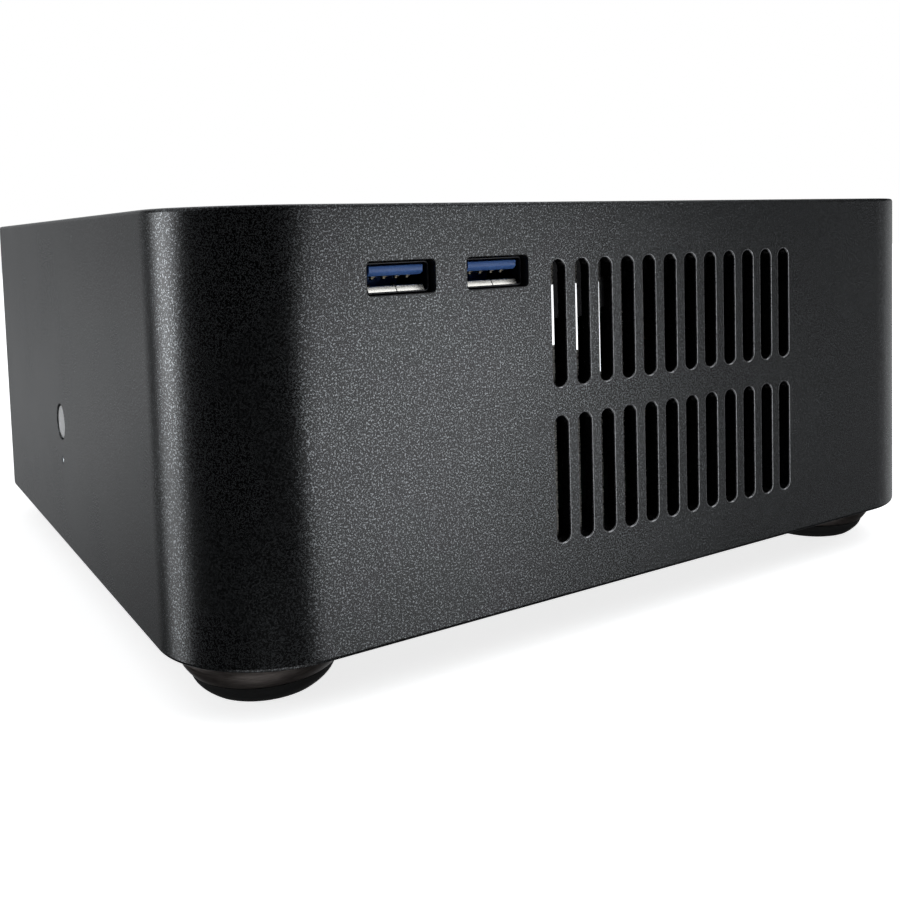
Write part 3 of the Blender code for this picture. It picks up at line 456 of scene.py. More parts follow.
def board_look():
    """Solder mask over fine copper runs that change direction by area, with bare vias."""
    look, tree, shader, place = new_look("circuit_board_fine")
    areas = add_node(tree, "TexVoronoi", {"Vector": place, "Scale": 1 / (7 * MM)},
                     distance="CHEBYCHEV")
    pick = add_node(tree, "SeparateColor", {"Color": areas.outputs["Color"]})
    parts = add_node(tree, "SeparateXYZ", {"Vector": place})
    runs = []
    for axis in ("X", "Y"):
        steps = add_math(tree, "MULTIPLY", parts.outputs[axis], 2 * pi / (0.9 * MM))
        runs.append(add_range(tree, add_math(tree, "SINE", steps), 0.1, 0.35, 0, 1))
    side = add_math(tree, "GREATER_THAN", pick.outputs["Red"], 0.5)
    lines = add_node(tree, "Mix", {"Factor": side, "A": runs[0], "B": runs[1]})
    plain = add_math(tree, "GREATER_THAN", pick.outputs["Green"], 0.45)
    copper = add_math(tree, "MULTIPLY", lines.outputs["Result"], plain)
    dots = add_node(tree, "TexVoronoi", {"Vector": place, "Scale": 1 / (2.6 * MM)})
    via = add_range(tree, dots.outputs["Distance"], 0.13, 0.16, 1, 0)
    mask = add_ramp(tree, copper, ((0.0, (0.003, 0.016, 0.010)), (1.0, (0.008, 0.042, 0.022))))
    colour = add_node(tree, "Mix", {"Factor": via, "A": mask, "B": (0.62, 0.52, 0.28, 1)},
                      data_type="RGBA")
    gloss = add_range(tree, copper, 0, 1, 0.38, 0.28)
    set_sockets(shader, {"Base Color": colour.outputs["Result"], "Roughness": gloss,
                         "Metallic": via})
    add_bump(tree, shader, copper, 0.03 * MM)
    return look


def floor_look():
    """A pale matt table that lets the studio's low lights by."""
    look, tree, shader, place = new_look("pale_floor")
    cloud = add_node(tree, "TexNoise", {"Vector": place, "Scale": 3.0}).outputs[0]
    tone = add_ramp(tree, cloud, ((0.0, (0.86, 0.86, 0.86)), (1.0, (0.90, 0.90, 0.90))))
    set_sockets(shader, {
        "Base Color": tone, "Roughness": 0.9, "Specular IOR Level": 0.1,
        "Emission Color": (1, 1, 1, 1), "Emission Strength": FLOOR_GLOW,
    })
    seen = add_node(tree, "LightPath").outputs["Is Camera Ray"]
    clear = add_node(tree, "BsdfTransparent").outputs[0]
    mixed = add_node(tree, "MixShader", {0: seen, 1: clear, 2: shader.outputs[0]})
    set_sockets(tree.nodes["Material Output"], {"Surface": mixed.outputs[0]})
    return look


def make_looks():
    """Every finish, by the record's slot name, with a few extra ones."""
    looks = {
        "black_anodised": anodised_look(),
        "opening_wall_painted_light": edge_look(),
        "silver_metal": turned_look(),
        "circuit_board": board_look(),
        "pale_floor": floor_look(),
    }
    for name, *finish in GRAINED_LOOKS:
        looks[name.removesuffix("_fine")] = grained(name, *finish)
    for name, sockets in MORE_SOCKETS.items():
        set_sockets(looks[name].node_tree.nodes["Principled BSDF"], sockets)
    return looks


LOOKS = make_looks()


# ---------------- mesh helpers

def in_mm(*points):
    """Points given in millimetres."""
    return [tuple(value * MM for value in point) for point in points]


def rounded_outline(half_x, half_y, radius, steps, centre=(0, 0)):
    """Points of a rounded rectangle, anticlockwise."""
    points = []
    for sign_x, sign_y, start in ((1, -1, -90), (1, 1, 0), (-1, 1, 90), (-1, -1, 180)):
        for step in range(steps + 1):
            angle = radians(start + 90 * step / steps)
            x = sign_x * (half_x - radius) + radius * cos(angle)
            y = sign_y * (half_y - radius) + radius * sin(angle)
            points.append((centre[0] + x, centre[1] + y))
    return points


def circle(radius, steps, centre=(0, 0), phase=0.0):
    return [
        (centre[0] + radius * cos(phase + 2 * pi * step / steps),
         centre[1] + radius * sin(phase + 2 * pi * step / steps))
        for step in range(steps)
    ]


def slot_outline(width, length, centre):
    """A slot along the second axis with half-round ends."""
    radius = width / 2
    straight = length / 2 - radius
    points = []
    for sign, start in ((1, 0), (-1, 180)):
        for step in range(SLOT_END_STEPS + 1):
            angle = radians(start + 180 * step / SLOT_END_STEPS)
            points.append((centre[0] + radius * cos(angle),
                           centre[1] + sign * straight + radius * sin(angle)))
    return points


# An opening's outline, as a function of how far it is grown

def slot_hole(width, length, centre):
    return lambda grow: slot_outline(width + 2 * grow, length + 2 * grow, centre)


def round_hole(radius, steps, centre=(0, 0)):
    return lambda grow: circle(radius + grow, steps, centre)


def box_hole(half_x, half_y, radius, steps, centre):
    return lambda grow: rounded_outline(half_x + grow, half_y + grow, radius + grow, steps,
                                        centre)


def bridge(mesh, lower, upper):
    count = len(lower)
    for i in range(count):
        j = (i + 1) % count
        mesh.faces.new((lower[i], lower[j], upper[j], upper[i]))


def add_loft(mesh, sections, closed=False):
    """Skins (outline, z) sections, capped at both ends unless closed into a ring."""
    rings = [[mesh.verts.new((x, y, z)) for x, y in outline] for outline, z in sections]
    for lower, upper in zip(rings, rings[1:]):
        bridge(mesh, lower, upper)
    if closed:
        bridge(mesh, rings[-1], rings[0])
    else:
        mesh.faces.new(list(reversed(rings[0])))
        mesh.faces.new(rings[-1])


def add_column(mesh, outline, low, high):
    add_loft(mesh, [(outline, low), (outline, high)])


def add_slab(mesh, outline_at, low, high, edge):
    """A slab with rounded edges. outline_at gives its outline, shrunk by a distance."""
    add_loft(mesh, [
        (outline_at(edge), low), (outline_at(edge * 0.3), low + edge * 0.3),
        (outline_at(0), low + edge), (outline_at(0), high - edge),
        (outline_at(edge * 0.3), high - edge * 0.3), (outline_at(edge), high),
    ])


def add_block(mesh, low, high, edge):
    """A box with chamfered edges, from its low to its high corner."""
    half_x, half_y = (high[0] - low[0]) / 2, (high[1] - low[1]) / 2
    centre = ((high[0] + low[0]) / 2, (high[1] + low[1]) / 2)
    add_slab(mesh, lambda inset: rounded_outline(half_x - inset, half_y - inset, edge, 2, centre),
             low[2], high[2], edge)


def add_hole(mesh, outline_at, floor=-2 * WALL, face=0, rim=RIM):
    """A hole's cutter: straight from floor, then flared to round the rim at face."""
    sections = [(outline_at(0), floor)]
    for step in range(RIM_STEPS + 1):
        angle = radians(90 * step / RIM_STEPS)
        sections.append((outline_at(rim * (1 - cos(angle))), face - rim + rim * sin(angle)))
    sections.append((outline_at(rim), face + MM))
    add_loft(mesh, sections)


def add_turned(mesh, profile, steps):
    """Turns (radius, z) points round Z. Points on the axis become single vertices."""
    rings = []
    for radius, z in profile:
        if radius == 0:
            rings.append([mesh.verts.new((0, 0, z))])
        else:
            rings.append([mesh.verts.new((x, y, z)) for x, y in circle(radius, steps)])
    pairs = list(zip(rings, rings[1:]))
    if len(rings[0]) > 1:
        pairs.append((rings[-1], rings[0]))
    for lower, upper in pairs:
        for i in range(steps):
            j = (i + 1) % steps
            corners = [lower[i % len(lower)], lower[j % len(lower)]]
            corners += [upper[j % len(upper)], upper[i % len(upper)]]
            unique = list(dict.fromkeys(corners))
            if len(unique) > 2:
                mesh.faces.new(unique)


def make_object(name, mesh, look, place=TO_TOP, sharp=SHARP_SMALL):
    """Moves a mesh to its place and makes an object of it."""
    mesh.transform(place)
    bmesh.ops.recalc_face_normals(mesh, faces=mesh.faces)
    data = bpy.data.meshes.new(name)
    mesh.to_mesh(data)
    mesh.free()
    data.materials.append(LOOKS[look])
    data.shade_smooth()
    data.set_sharp_from_angle(angle=sharp)
    made = bpy.data.objects.new(name, data)
    bpy.context.scene.collection.objects.link(made)
    return made


def turned_object(name, profile, steps, look, place, sharp=SHARP_SMALL):
    mesh = bmesh.new()
    add_turned(mesh, profile, steps)
    return make_object(name, mesh, look, place, sharp)


def combine(target, mesh, look, place=TO_TOP, operation="DIFFERENCE", sharp=SHARP):
    """Applies one Boolean and keeps its result as the target's mesh."""
    tool = make_object("tool", mesh, look, place)
    modifier = target.modifiers.new("combine", "BOOLEAN")
    modifier.operation = operation
    modifier.solver = "EXACT"
    modifier.material_mode = "TRANSFER"
    modifier.object = tool
    bpy.context.view_layer.update()
    evaluated = target.evaluated_get(bpy.context.evaluated_depsgraph_get())
    result = bpy.data.meshes.new_from_object(evaluated)
    target.modifiers.clear()
    target.data = result
    bpy.data.objects.remove(tool)
    result.shade_smooth()
    result.set_sharp_from_angle(angle=sharp)


def keep(made, node=None, body="case"):
    """Hangs a finished piece on the body it rides on, and hides the CAD node it stands for."""
    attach(made, body)
    if node is not None:
        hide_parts(node)


# ---------------- case

def case_outline(inset):
    return rounded_outline(SIDE_X - inset, REAR_Y - inset, CORNER_R - inset, CORNER_STEPS)


def build_shell():
    """The ring of front, sides and rear, with every opening's edge rounded."""
    mesh = bmesh.new()
    add_loft(mesh, [(case_outline(inset), z) for inset, z in (
        (WALL, BASE_Z + INNER_EDGE), (WALL - INNER_EDGE, BASE_Z),
        (EDGE, BASE_Z), (EDGE * 0.42, BASE_Z + EDGE * 0.16),
        (EDGE * 0.16, BASE_Z + EDGE * 0.42), (0, BASE_Z + EDGE),
        (0, TOP_Z - EDGE), (EDGE * 0.16, TOP_Z - EDGE * 0.42),
        (EDGE * 0.42, TOP_Z - EDGE * 0.16), (EDGE, TOP_Z),
        (WALL - INNER_EDGE, TOP_Z), (WALL, TOP_Z - INNER_EDGE),
    )], closed=True)
    shell = make_object("case_shell_fine", mesh, "black_anodised")
    add_posts(shell)
    cut_front(shell)
    cut_rear(shell)
    cut_left(shell)
    keep(shell, "case_shell")


def add_posts(shell):
    """The corner posts, which the screws of both plates go into."""
    posts = bmesh.new()
    low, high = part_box("bottom_plate")[1].z + GAP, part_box("top_cover")[0].z - GAP
    for at in POST_PLACES:
        add_column(posts, circle(POST_R, 32, at), low, high)
    combine(shell, posts, "black_anodised", operation="UNION")


def add_slot_row(mesh, first_x, middle, length):
    for column in range(SLOT_COLUMNS):
        add_hole(mesh, slot_hole(SLOT_W, length, (first_x + column * SLOT_PITCH, middle)))


def cut_front(shell):
    slots = bmesh.new()
    for low, high in SLOT_ROWS:
        add_slot_row(slots, SLOT_FIRST_X, (low + high) / 2, high - low)
    # The slots' walls take painted shade further in and a painted highlight on their rims
    combine(shell, slots, "opening_wall_painted_light", ON_FRONT)
    ports = bmesh.new()
    for side in SIDES:
        middle = middle_of(f"front_usb_shell_{side}")
        add_hole(ports, box_hole(PORT_CUT[0] / 2, PORT_CUT[1] / 2, 0.8 * MM, 8,
                                 (middle.x, middle.z)), rim=0.15 * MM)
    combine(shell, ports, "black_plastic", ON_FRONT)


def cut_rear(shell):
    """The holes for the rear shield and the inlet, and a row of vent slots."""
    rear = bmesh.new()
    low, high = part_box("io_shield")
    add_hole(rear, box_hole(high.x + GAP, (high.z - low.z) / 2 + GAP, 1.5 * MM, 8,
                            (0, (high.z + low.z) / 2)))
    inlet = middle_of("power_inlet")
    add_hole(rear, round_hole(INLET_HOLE_R, 64, (inlet.x, inlet.z)))
    add_slot_row(rear, *REAR_SLOTS)
    # These openings' walls take painted shade further in and a painted highlight on their rims
    combine(shell, rear, "opening_wall_painted_light", ON_REAR)


def cut_left(shell):
    """The holes for the button and the indicator."""
    left = bmesh.new()
    button, lens = middle_of("power_button"), middle_of("led_lens")
    add_hole(left, round_hole(BUTTON_HOLE_R, 72, (button.y, button.z)), rim=0.2 * MM)
    add_hole(left, round_hole(LENS_HOLE_R, 32, (lens.y, lens.z)), rim=0.1 * MM)
    combine(shell, left, "black_anodised", ON_LEFT)


def build_plate(node, look, face, slots):
    """A plate with rounded edges, its vent slots and its countersunk screw holes."""
    low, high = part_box(node)
    thick = high.z - low.z
    side = SIDE_X - high.x
    place = shift((0, 0, high.z if face is TO_TOP else low.z)) @ face
    mesh = bmesh.new()
    add_slab(mesh, lambda inset: case_outline(side + inset), -thick, 0, PLATE_EDGE)
    plate = make_object(f"{node}_fine", mesh, look, place)
    holes = bmesh.new()
    for length, at in slots:
        add_hole(holes, slot_hole(SLOT_W, length, at), -2 * thick)
    for at in POST_PLACES:
        add_hole(holes, round_hole(SCREW_HOLE_R, 48, at), -2 * thick)
    if face is TO_BELOW:
        for corner in CORNERS:
            middle = middle_of(f"foot_ring_{corner}")
            add_column(holes, circle(FOOT_HOLE_R, 32, (middle.x, middle.y)), -2 * thick, MM)
    combine(plate, holes, look, place)
    keep(plate, node)


def build_plates():
    half = (SLOT_COLUMNS - 1) / 2
    columns = [column - half for column in range(SLOT_COLUMNS)]
    top = [
        (TOP_SLOT_LENGTH, (COOLER_X + column * SLOT_PITCH, COOLER_Y + row))
        for row in TOP_SLOT_ROWS for column in columns
    ]
    below = [
        (BASE_SLOT_LENGTH, (COOLER_X + column * 2 * SLOT_PITCH, COOLER_Y)) for column in columns
    ]
    build_plate("top_cover", "black_anodised", TO_TOP, top)
    build_plate("bottom_plate", "black_anodised", TO_BELOW, below)


def build_flush_screws():
    """Screws with a hexagon socket in a slightly dished head."""
    look = "black_screw"
    hexagon = circle(1.05 * MM, 6, phase=0.3)
    for corner in CORNERS:
        for kind, face in (("cover", TO_TOP), ("base", TO_BELOW)):
            node = f"{kind}_screw_{corner}"
            low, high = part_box(node)
            radius = (high.x - low.x) / 2
            thick = high.z - low.z
            profile = [
                (0, -thick), (radius - 0.15 * MM, -thick), (radius, -thick + 0.15 * MM),
                (radius, -0.35 * MM), (radius - 0.08 * MM, -0.13 * MM), (radius - 0.3 * MM, 0),
            ] + in_mm((1.35, 0), (1.2, -0.12), (1.0, -0.2), (0, -0.2))
            middle = (low + high) / 2
            top = high.z if face is TO_TOP else low.z
            place = shift((middle.x, middle.y, top)) @ face
            screw = turned_object(f"{node}_fine", profile, 48, look, place)
            socket = bmesh.new()
            add_column(socket, hexagon, -1.25 * MM, MM)
            combine(screw, socket, look, place)
            keep(screw, node)


# ---------------- feet

def swollen(start, end, share, swell):
    """A radius some share of the way from start to end, on a line that bows out by swell."""
    return start + (end - start) * share + swell * 4 * share * (1 - share)


def ring_profile(seam, head):
    """A metal ring's section, from its seam with the pad to the head of its fixing."""
    top = BASE_Z - 0.2 * MM
    shoulder = top - 2.6 * MM
    profile = [(0, 7.0 * MM), (FOOT_CAVITY_R, 7.0 * MM), (FOOT_CAVITY_R, seam),
               (FOOT_SEAM_R - 0.2 * MM, seam)]
    for step in range(FOOT_WALL_STEPS + 1):
        share = step / FOOT_WALL_STEPS
        radius = swollen(FOOT_SEAM_R, FOOT_R, share, 0.25 * MM)
        profile.append((min(radius, FOOT_R),
                        seam + 0.2 * MM + (shoulder - seam - 0.2 * MM) * share))
    return profile + [
        (FOOT_R, top - 0.3 * MM), (FOOT_R - 0.09 * MM, top - 0.09 * MM),
        (FOOT_R - 0.3 * MM, top), (1.9 * MM, top), (1.9 * MM, head - 0.3 * MM),
        (1.6 * MM, head), (0, head),
    ]


def pad_profile(seam, top):
    """A rubber pad's section: its ringed tread, bowed wall, and plug inside the ring."""
    edge = seam - 0.2 * MM
    profile = [(0, 0)]
    for groove in (3.5, 6.2, 8.9):
        profile += in_mm((groove - 0.4, 0), (groove - 0.2, 0.35), (groove + 0.2, 0.35),
                         (groove + 0.4, 0))
    for step in range(FOOT_WALL_STEPS + 1):
        share = step / FOOT_WALL_STEPS
        radius = swollen(PAD_R, FOOT_SEAM_R - 0.4 * MM, share, 0.6 * MM)
        profile.append((radius, edge * share))
    inside = FOOT_CAVITY_R - GAP
    return profile + [(inside, edge), (inside, top), (0, top)]


def build_feet():
    """Turned metal rings with a bowed wall, over rubber pads with ringed treads."""
    for corner in CORNERS:
        low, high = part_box(f"foot_ring_{corner}")
        middle = (low + high) / 2
        place = shift((middle.x, middle.y, 0))
        pad_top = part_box(f"foot_pad_{corner}")[1].z
        for kind, slot, profile in (
            ("ring", "foot_metal", ring_profile(low.z, high.z)),
            ("pad", "black_rubber", pad_profile(low.z, pad_top)),
        ):
            node = f"foot_{kind}_{corner}"
            made = turned_object(f"{node}_fine", profile, FOOT_STEPS, slot, place,
                                 SHARP_TURNED)
            keep(made, node)


# ---------------- power button

def build_button():
    """The button's dished cap, seen on the -X side, and its stem."""
    low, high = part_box("power_button")
    middle = (low + high) / 2
    stem = high.x - low.x
    under = -SIDE_X + WALL + GAP - low.x
    profile = in_mm((0, 0.10), (1.4, 0.085), (2.6, 0.045), (3.4, 0.0), (3.7, 0.02),
                    (3.92, 0.09), (4.05, 0.22), (4.1, 0.4))
    profile += [(4.1 * MM, under), (5.2 * MM, under), (5.2 * MM, under + MM),
                (1.8 * MM, under + MM), (1.8 * MM, stem), (0, stem)]
    place = shift((low.x, middle.y, middle.z)) @ ALONG_X
    made = turned_object("power_button_fine", profile, 96, "silver_metal", place,
                         SHARP_TURNED)
    keep(made, "power_button", "power_button")


def build_indicator():
    """The domed indicator under the button."""
    low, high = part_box("led_lens")
    middle = (low + high) / 2
    depth = high.x - low.x
    profile = in_mm((0, 0), (0.3, 0.01), (0.55, 0.03), (0.72, 0.08), (0.8, 0.16), (0.8, 2.6),
                    (1.4, 2.6)) + [(1.4 * MM, depth), (0, depth)]
    place = shift((low.x, middle.y, middle.z)) @ ALONG_X
    made = turned_object("led_lens_fine", profile, 40, "lens_plastic", place,
                         SHARP_TURNED)
    keep(made, "led_lens")


# ---------------- front ports

def usb_shell(name, look, place):
    """A folded steel cup with a rounded mouth, set a little inside the front wall."""
    half_x, half_z = PORT_SHELL[0] / 2, PORT_SHELL[1] / 2
    mouth = -PORT_MOUTH
    lip = 0.12 * MM

    def outline(inset):
        return rounded_outline(half_x - inset, half_z - inset, 0.75 * MM - inset * 0.6, 8)

    mesh = bmesh.new()
    add_loft(mesh, [(outline(inset), z) for inset, z in (
        (0, -PORT_DEPTH), (0, mouth - lip), (lip * 0.3, mouth - lip * 0.3), (lip, mouth),
        (PORT_SHEET - lip, mouth), (PORT_SHEET - lip * 0.3, mouth - lip * 0.3),
        (PORT_SHEET, mouth - lip), (PORT_SHEET, -PORT_DEPTH + PORT_SHEET),
    )])
    shell = make_object(name, mesh, look, place)
    seam = bmesh.new()
    add_column(seam, rounded_outline(0.09 * MM, 0.6 * MM, 0.02 * MM, 1, (0, -half_z)),
               -9 * MM, MM)
    combine(shell, seam, look, place)
    return shell


def usb_lip(name, look, place):
    """The bright rolled lower lip, in two halves with the seam between them."""
    floor = -PORT_SHELL[1] / 2 + PORT_SHEET
    start = PORT_MOUTH + 0.3 * MM
    slope = in_mm((0, 0), (0.06, 0.09), (0.68, 1.03), (0.74, 1.10), (0.83, 1.14), (0.95, 1.15),
                  (1.45, 1.12), (2.6, 0.80), (4.4, 0.02))
    profile = [(start + depth, floor - 0.12 * MM + height) for depth, height in slope]
    mesh = bmesh.new()
    for low, high in in_mm((-5.75, -0.1), (0.1, 5.75)):
        add_column(mesh, profile, low, high)
    return make_object(name, mesh, look, place @ INWARDS)


def usb_tongue(name, look, place):
    """The insulator with its contact tongue, whose lower edge is relieved."""
    play = PORT_SHEET + 0.15 * MM
    half_x = PORT_SHELL[0] / 2 - play
    half_z = PORT_SHELL[1] / 2 - play
    mesh = bmesh.new()
    add_block(mesh, (-half_x, -half_z, -PORT_DEPTH + play),
              (half_x, half_z, -PORT_DEPTH + 5 * MM), 0.15 * MM)
    piece = make_object(name, mesh, look, place)
    low, high = TONGUE_HEIGHTS
    tip = 1.2 * MM
    root = PORT_DEPTH - 5 * MM + MM
    profile = [
        (tip + 0.9 * MM, low), (tip + 0.22 * MM, low + 0.42 * MM),
        (tip + 0.05 * MM, low + 0.60 * MM), (tip, low + 0.75 * MM), (tip, high - 0.22 * MM),
        (tip + 0.06 * MM, high - 0.08 * MM), (tip + 0.20 * MM, high), (root, high), (root, low),
    ]
    edge = 0.06 * MM
    shrunk = [(depth + (edge if depth < 2 * tip else 0), height) for depth, height in profile]
    half = TONGUE_W / 2
    blade = bmesh.new()
    add_loft(blade, [(shrunk, -half), (profile, -half + edge), (profile, half - edge),
                     (shrunk, half)])
    combine(piece, blade, look, place @ INWARDS, "UNION", SHARP_SMALL)
    return piece


def usb_contacts(name, look, place):
    """Contacts under the tongue with raised tips, and the shell's lower springs."""
    low = TONGUE_HEIGHTS[0]
    mesh = bmesh.new()

    def add_strip(at, half, bottom, top, back, front, edge):
        add_block(mesh, (at - half * MM, low + bottom * MM, back * MM),
                  (at + half * MM, low + top * MM, front * MM), edge * MM)

    for x in (-4.0, -1.6, 0.9, 3.2):
        add_strip(x * MM, 0.45, -0.22, -0.01, -11.8, -2.6, 0.05)
        add_strip(x * MM, 0.32, -0.62, -0.10, -3.7, -3.0, 0.12)
    for x in (-4.4, 0.9):
        add_strip(x * MM, 0.3, -2.0, -1.75, -4.6, -3.8, 0.08)
    return make_object(name, mesh, look, place)


def build_front_ports():
    for side in SIDES:
        low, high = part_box(f"front_usb_shell_{side}")
        place = shift(((low.x + high.x) / 2, low.y, (low.z + high.z) / 2)) @ TO_FRONT
        for kind, make, look, slot, stands_in in (
            # Shells darkened from plated steel: painted shade inside the ports
            ("shell", usb_shell, "port_shell_painted_shade", "plated_steel", True),
            ("lip", usb_lip, "plated_steel", "plated_steel", False),
            ("tongue", usb_tongue, "blue_plastic", "blue_plastic", True),
            # Contacts darkened: painted shade under the tongues
            ("contacts", usb_contacts, "port_contact_painted_shade", "brass", False),
        ):
            node = f"front_usb_{kind}_{side}"
            if stands_in:
                keep(make(f"{node}_fine", look, place), node)
            else:
                keep(make(node, look, place))


def build_grille_strips():
    """Short bright strips on the grille behind the first columns, turned a little outwards."""
    face = FRONT_Y + SHEET_DEPTH
    mesh = bmesh.new()
    for column, (lead, low) in enumerate(zip(STRIP_LEADS, STRIP_LOWS)):
        x = SLOT_FIRST_X + column * SLOT_PITCH + lead
        outline = [(x - STRIP_HALF, face), (x + STRIP_HALF, face),
                   (x + STRIP_HALF, face - STRIP_LIFT), (x - STRIP_HALF, face - 0.01 * MM)]
        add_column(mesh, outline, low, STRIP_TOP)
    keep(make_object("grille_strips", mesh, "polished"))


# ---------------- rear connectors

def build_connector(node, slot, mouths):
    """A connector block with rounded edges and one recess for each mouth outline.

    Returns its own frame: the middle of its width, its underside and its outer face.
    """
    low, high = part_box(node)
    place = shift(((low.x + high.x) / 2, high.y, low.z)) @ TO_REAR
    half = (high.x - low.x) / 2
    mesh = bmesh.new()
    add_block(mesh, (-half, 0, low.y - high.y), (half, high.z - low.z, 0), 0.25 * MM)
    body = make_object(f"{node}_fine", mesh, slot, place)
    cuts = bmesh.new()
    for mouth in mouths:
        add_hole(cuts, mouth, low.y - high.y + SOCKET_BACK, rim=0.18 * MM)
    combine(body, cuts, slot, place, sharp=SHARP_SMALL)
    keep(body, node)
    return place


def strips(places, half, low, high, back, front):
    """Blocks side by side in a connector's own frame. All measures are in millimetres."""
    return [in_mm((x - half, low, back), (x + half, high, front)) for x in places]


def build_blocks(name, boxes, place, look, edge=0.1 * MM):
    """One piece made of chamfered blocks in a connector's own frame."""
    mesh = bmesh.new()
    for low, high in boxes:
        add_block(mesh, low, high, edge)
    keep(make_object(name, mesh, look, place))


def build_usb_stack():
    mouths, tongues, contacts = [], [], []
    for level in USB_LEVELS:
        high = level + USB_MOUTH[1]
        mouths.append(box_hole(USB_MOUTH[0] / 2, (high - level) / 2, 0.3 * MM, 4,
                               (0, (high + level) / 2)))
        low = level / MM + 2.9
        tongues += strips([0], 5.5, low, low + 1.8, -15.4, -1.5)
        contacts += strips((-3.5, -1.0, 1.0, 3.5), 0.5, low - 0.25, low - 0.02, -12, -3.5)
    place = build_connector("rear_usb_stack", "plated_steel", mouths)
    build_blocks("rear_usb_tongues", tongues, place, "blue_plastic")
    build_blocks("rear_usb_contacts", contacts, place, "contact_gold", 0.05 * MM)


def build_lan_jack():
    def mouth(grow):
        """A socket with the clip's stepped notch at its top."""
        half, low, high = 5.95 * MM + grow, 2.8 * MM - grow, 11.2 * MM + grow
        step = 9.6 * MM + grow
        notch = (2.0 * MM + grow) * 1.6
        return [(-half, low), (half, low), (half, step), (notch, step), (notch, high),
                (-notch, high), (-notch, step), (-half, step)]

    place = build_connector("lan_jack", "plated_steel", [mouth])
    pins = strips([(index - 3.5) * 1.02 for index in range(8)], 0.2, 2.95, 3.3, -14, -2.2)
    build_blocks("lan_contacts", pins, place, "contact_gold", 0.05 * MM)
    for side, look, sign in (("left", "jack_green", -1), ("right", "jack_amber", 1)):
        window = strips([sign * 6.0], 1.5, 11.6, 13.0, -0.4, 0.12)
        build_blocks(f"lan_light_{side}", window, place, look, 0.12 * MM)


def build_video_port():
    def mouth(grow):
        """A flat socket that narrows towards its underside."""
        half, foot = 7.3 * MM + grow, 5.3 * MM + grow
        low, mid, high = 1.2 * MM - grow, 2.9 * MM, 5.8 * MM + grow
        return [(-foot, low), (foot, low), (half, mid), (half, high), (-half, high), (-half, mid)]

    place = build_connector("video_port", "plated_steel", [mouth])
    tongue = strips([0], 5.6, 3.1, 4.1, -11.6, -1.4)
    build_blocks("video_tongue", tongue, place, "black_plastic")
    pads = []
    for index in range(10):
        for low in (2.98, 4.11):
            pads += strips([index - 4.5], 0.22, low, low + 0.11, -9, -2)
    build_blocks("video_contacts", pads, place, "contact_gold", 0.03 * MM)


def build_audio_jacks():
    """Three round jacks, each with a coloured ring and a gilt sleeve."""
    mouths = [round_hole(1.8 * MM, 48, (0, height)) for height in AUDIO_HEIGHTS]
    place = build_connector("audio_jacks", "black_plastic", mouths)
    ring = in_mm((1.85, -9), (1.85, 0.10), (2.05, 0.30), (3.2, 0.38), (3.55, 0.30), (3.7, 0.10),
                 (3.7, 0.01), (2.0, 0.01), (2.0, -9))
    sleeve = in_mm((1.55, -8), (1.55, -0.3), (1.65, -0.12), (1.8, -0.12), (1.8, -8))
    for height, colour in zip(AUDIO_HEIGHTS, ("pink", "green", "blue")):
        at = place @ shift((0, height, 0))
        keep(turned_object(f"audio_ring_{colour}", ring, 64, f"jack_{colour}", at))
        keep(turned_object(f"audio_sleeve_{colour}", sleeve, 64, "contact_gold", at))


def build_io_shield():
    """A stamped plate with a raised frame round each connector and pressed ribs between."""
    low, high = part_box("io_shield")
    look = "plated_steel"
    half_x = (high.x - low.x) / 2
    half_z = (high.z - low.z) / 2
    thick = high.y - low.y
    middle_z = (high.z + low.z) / 2
    place = shift((0, high.y, 0)) @ TO_REAR
    mesh = bmesh.new()
    add_loft(mesh, [
        (rounded_outline(half_x - inset, half_z - inset, 1.3 * MM - inset, 8, (0, middle_z)), z)
        for inset, z in (
            (SHIELD_EDGE, -thick), (0, -thick + SHIELD_EDGE), (0, -SHIELD_EDGE),
            (SHIELD_EDGE * 0.3, -SHIELD_EDGE * 0.3), (SHIELD_EDGE, 0),
        )
    ])
    shield = make_object("io_shield_fine", mesh, look, place)
    ridges, cuts = bmesh.new(), bmesh.new()
    for node in REAR_NODES:
        low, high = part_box(node)
        centre = ((low.x + high.x) / 2, (low.z + high.z) / 2)
        half_w, half_h = (high.x - low.x) / 2 + GAP, (high.z - low.z) / 2 + GAP
        add_column(cuts, rounded_outline(half_w, half_h, 0.3 * MM, 3, centre), -2 * MM, 2 * MM)
        add_ridge(ridges, half_w + 1.1 * MM, half_h + 1.1 * MM, centre)
    for x, width in SHIELD_RIBS:
        add_ridge(ridges, width / 2, 12 * MM, (x, middle_z + 6 * MM))
    combine(shield, ridges, look, place, "UNION")
    combine(shield, cuts, look, place, sharp=SHARP_SHIELD)
    keep(shield, "io_shield")


def add_ridge(mesh, half_x, half_y, centre):
    """A raised area of the rear shield, with sloped sides."""
    outline_at = box_hole(half_x, half_y, 1.2 * MM, 8, centre)
    add_loft(mesh, [
        (outline_at(RIDGE), -0.3 * MM), (outline_at(RIDGE), 0.02 * MM),
        (outline_at(0.2 * MM), RIDGE * 0.75), (outline_at(0), RIDGE),
        (outline_at(-0.2 * MM), RIDGE),
    ])


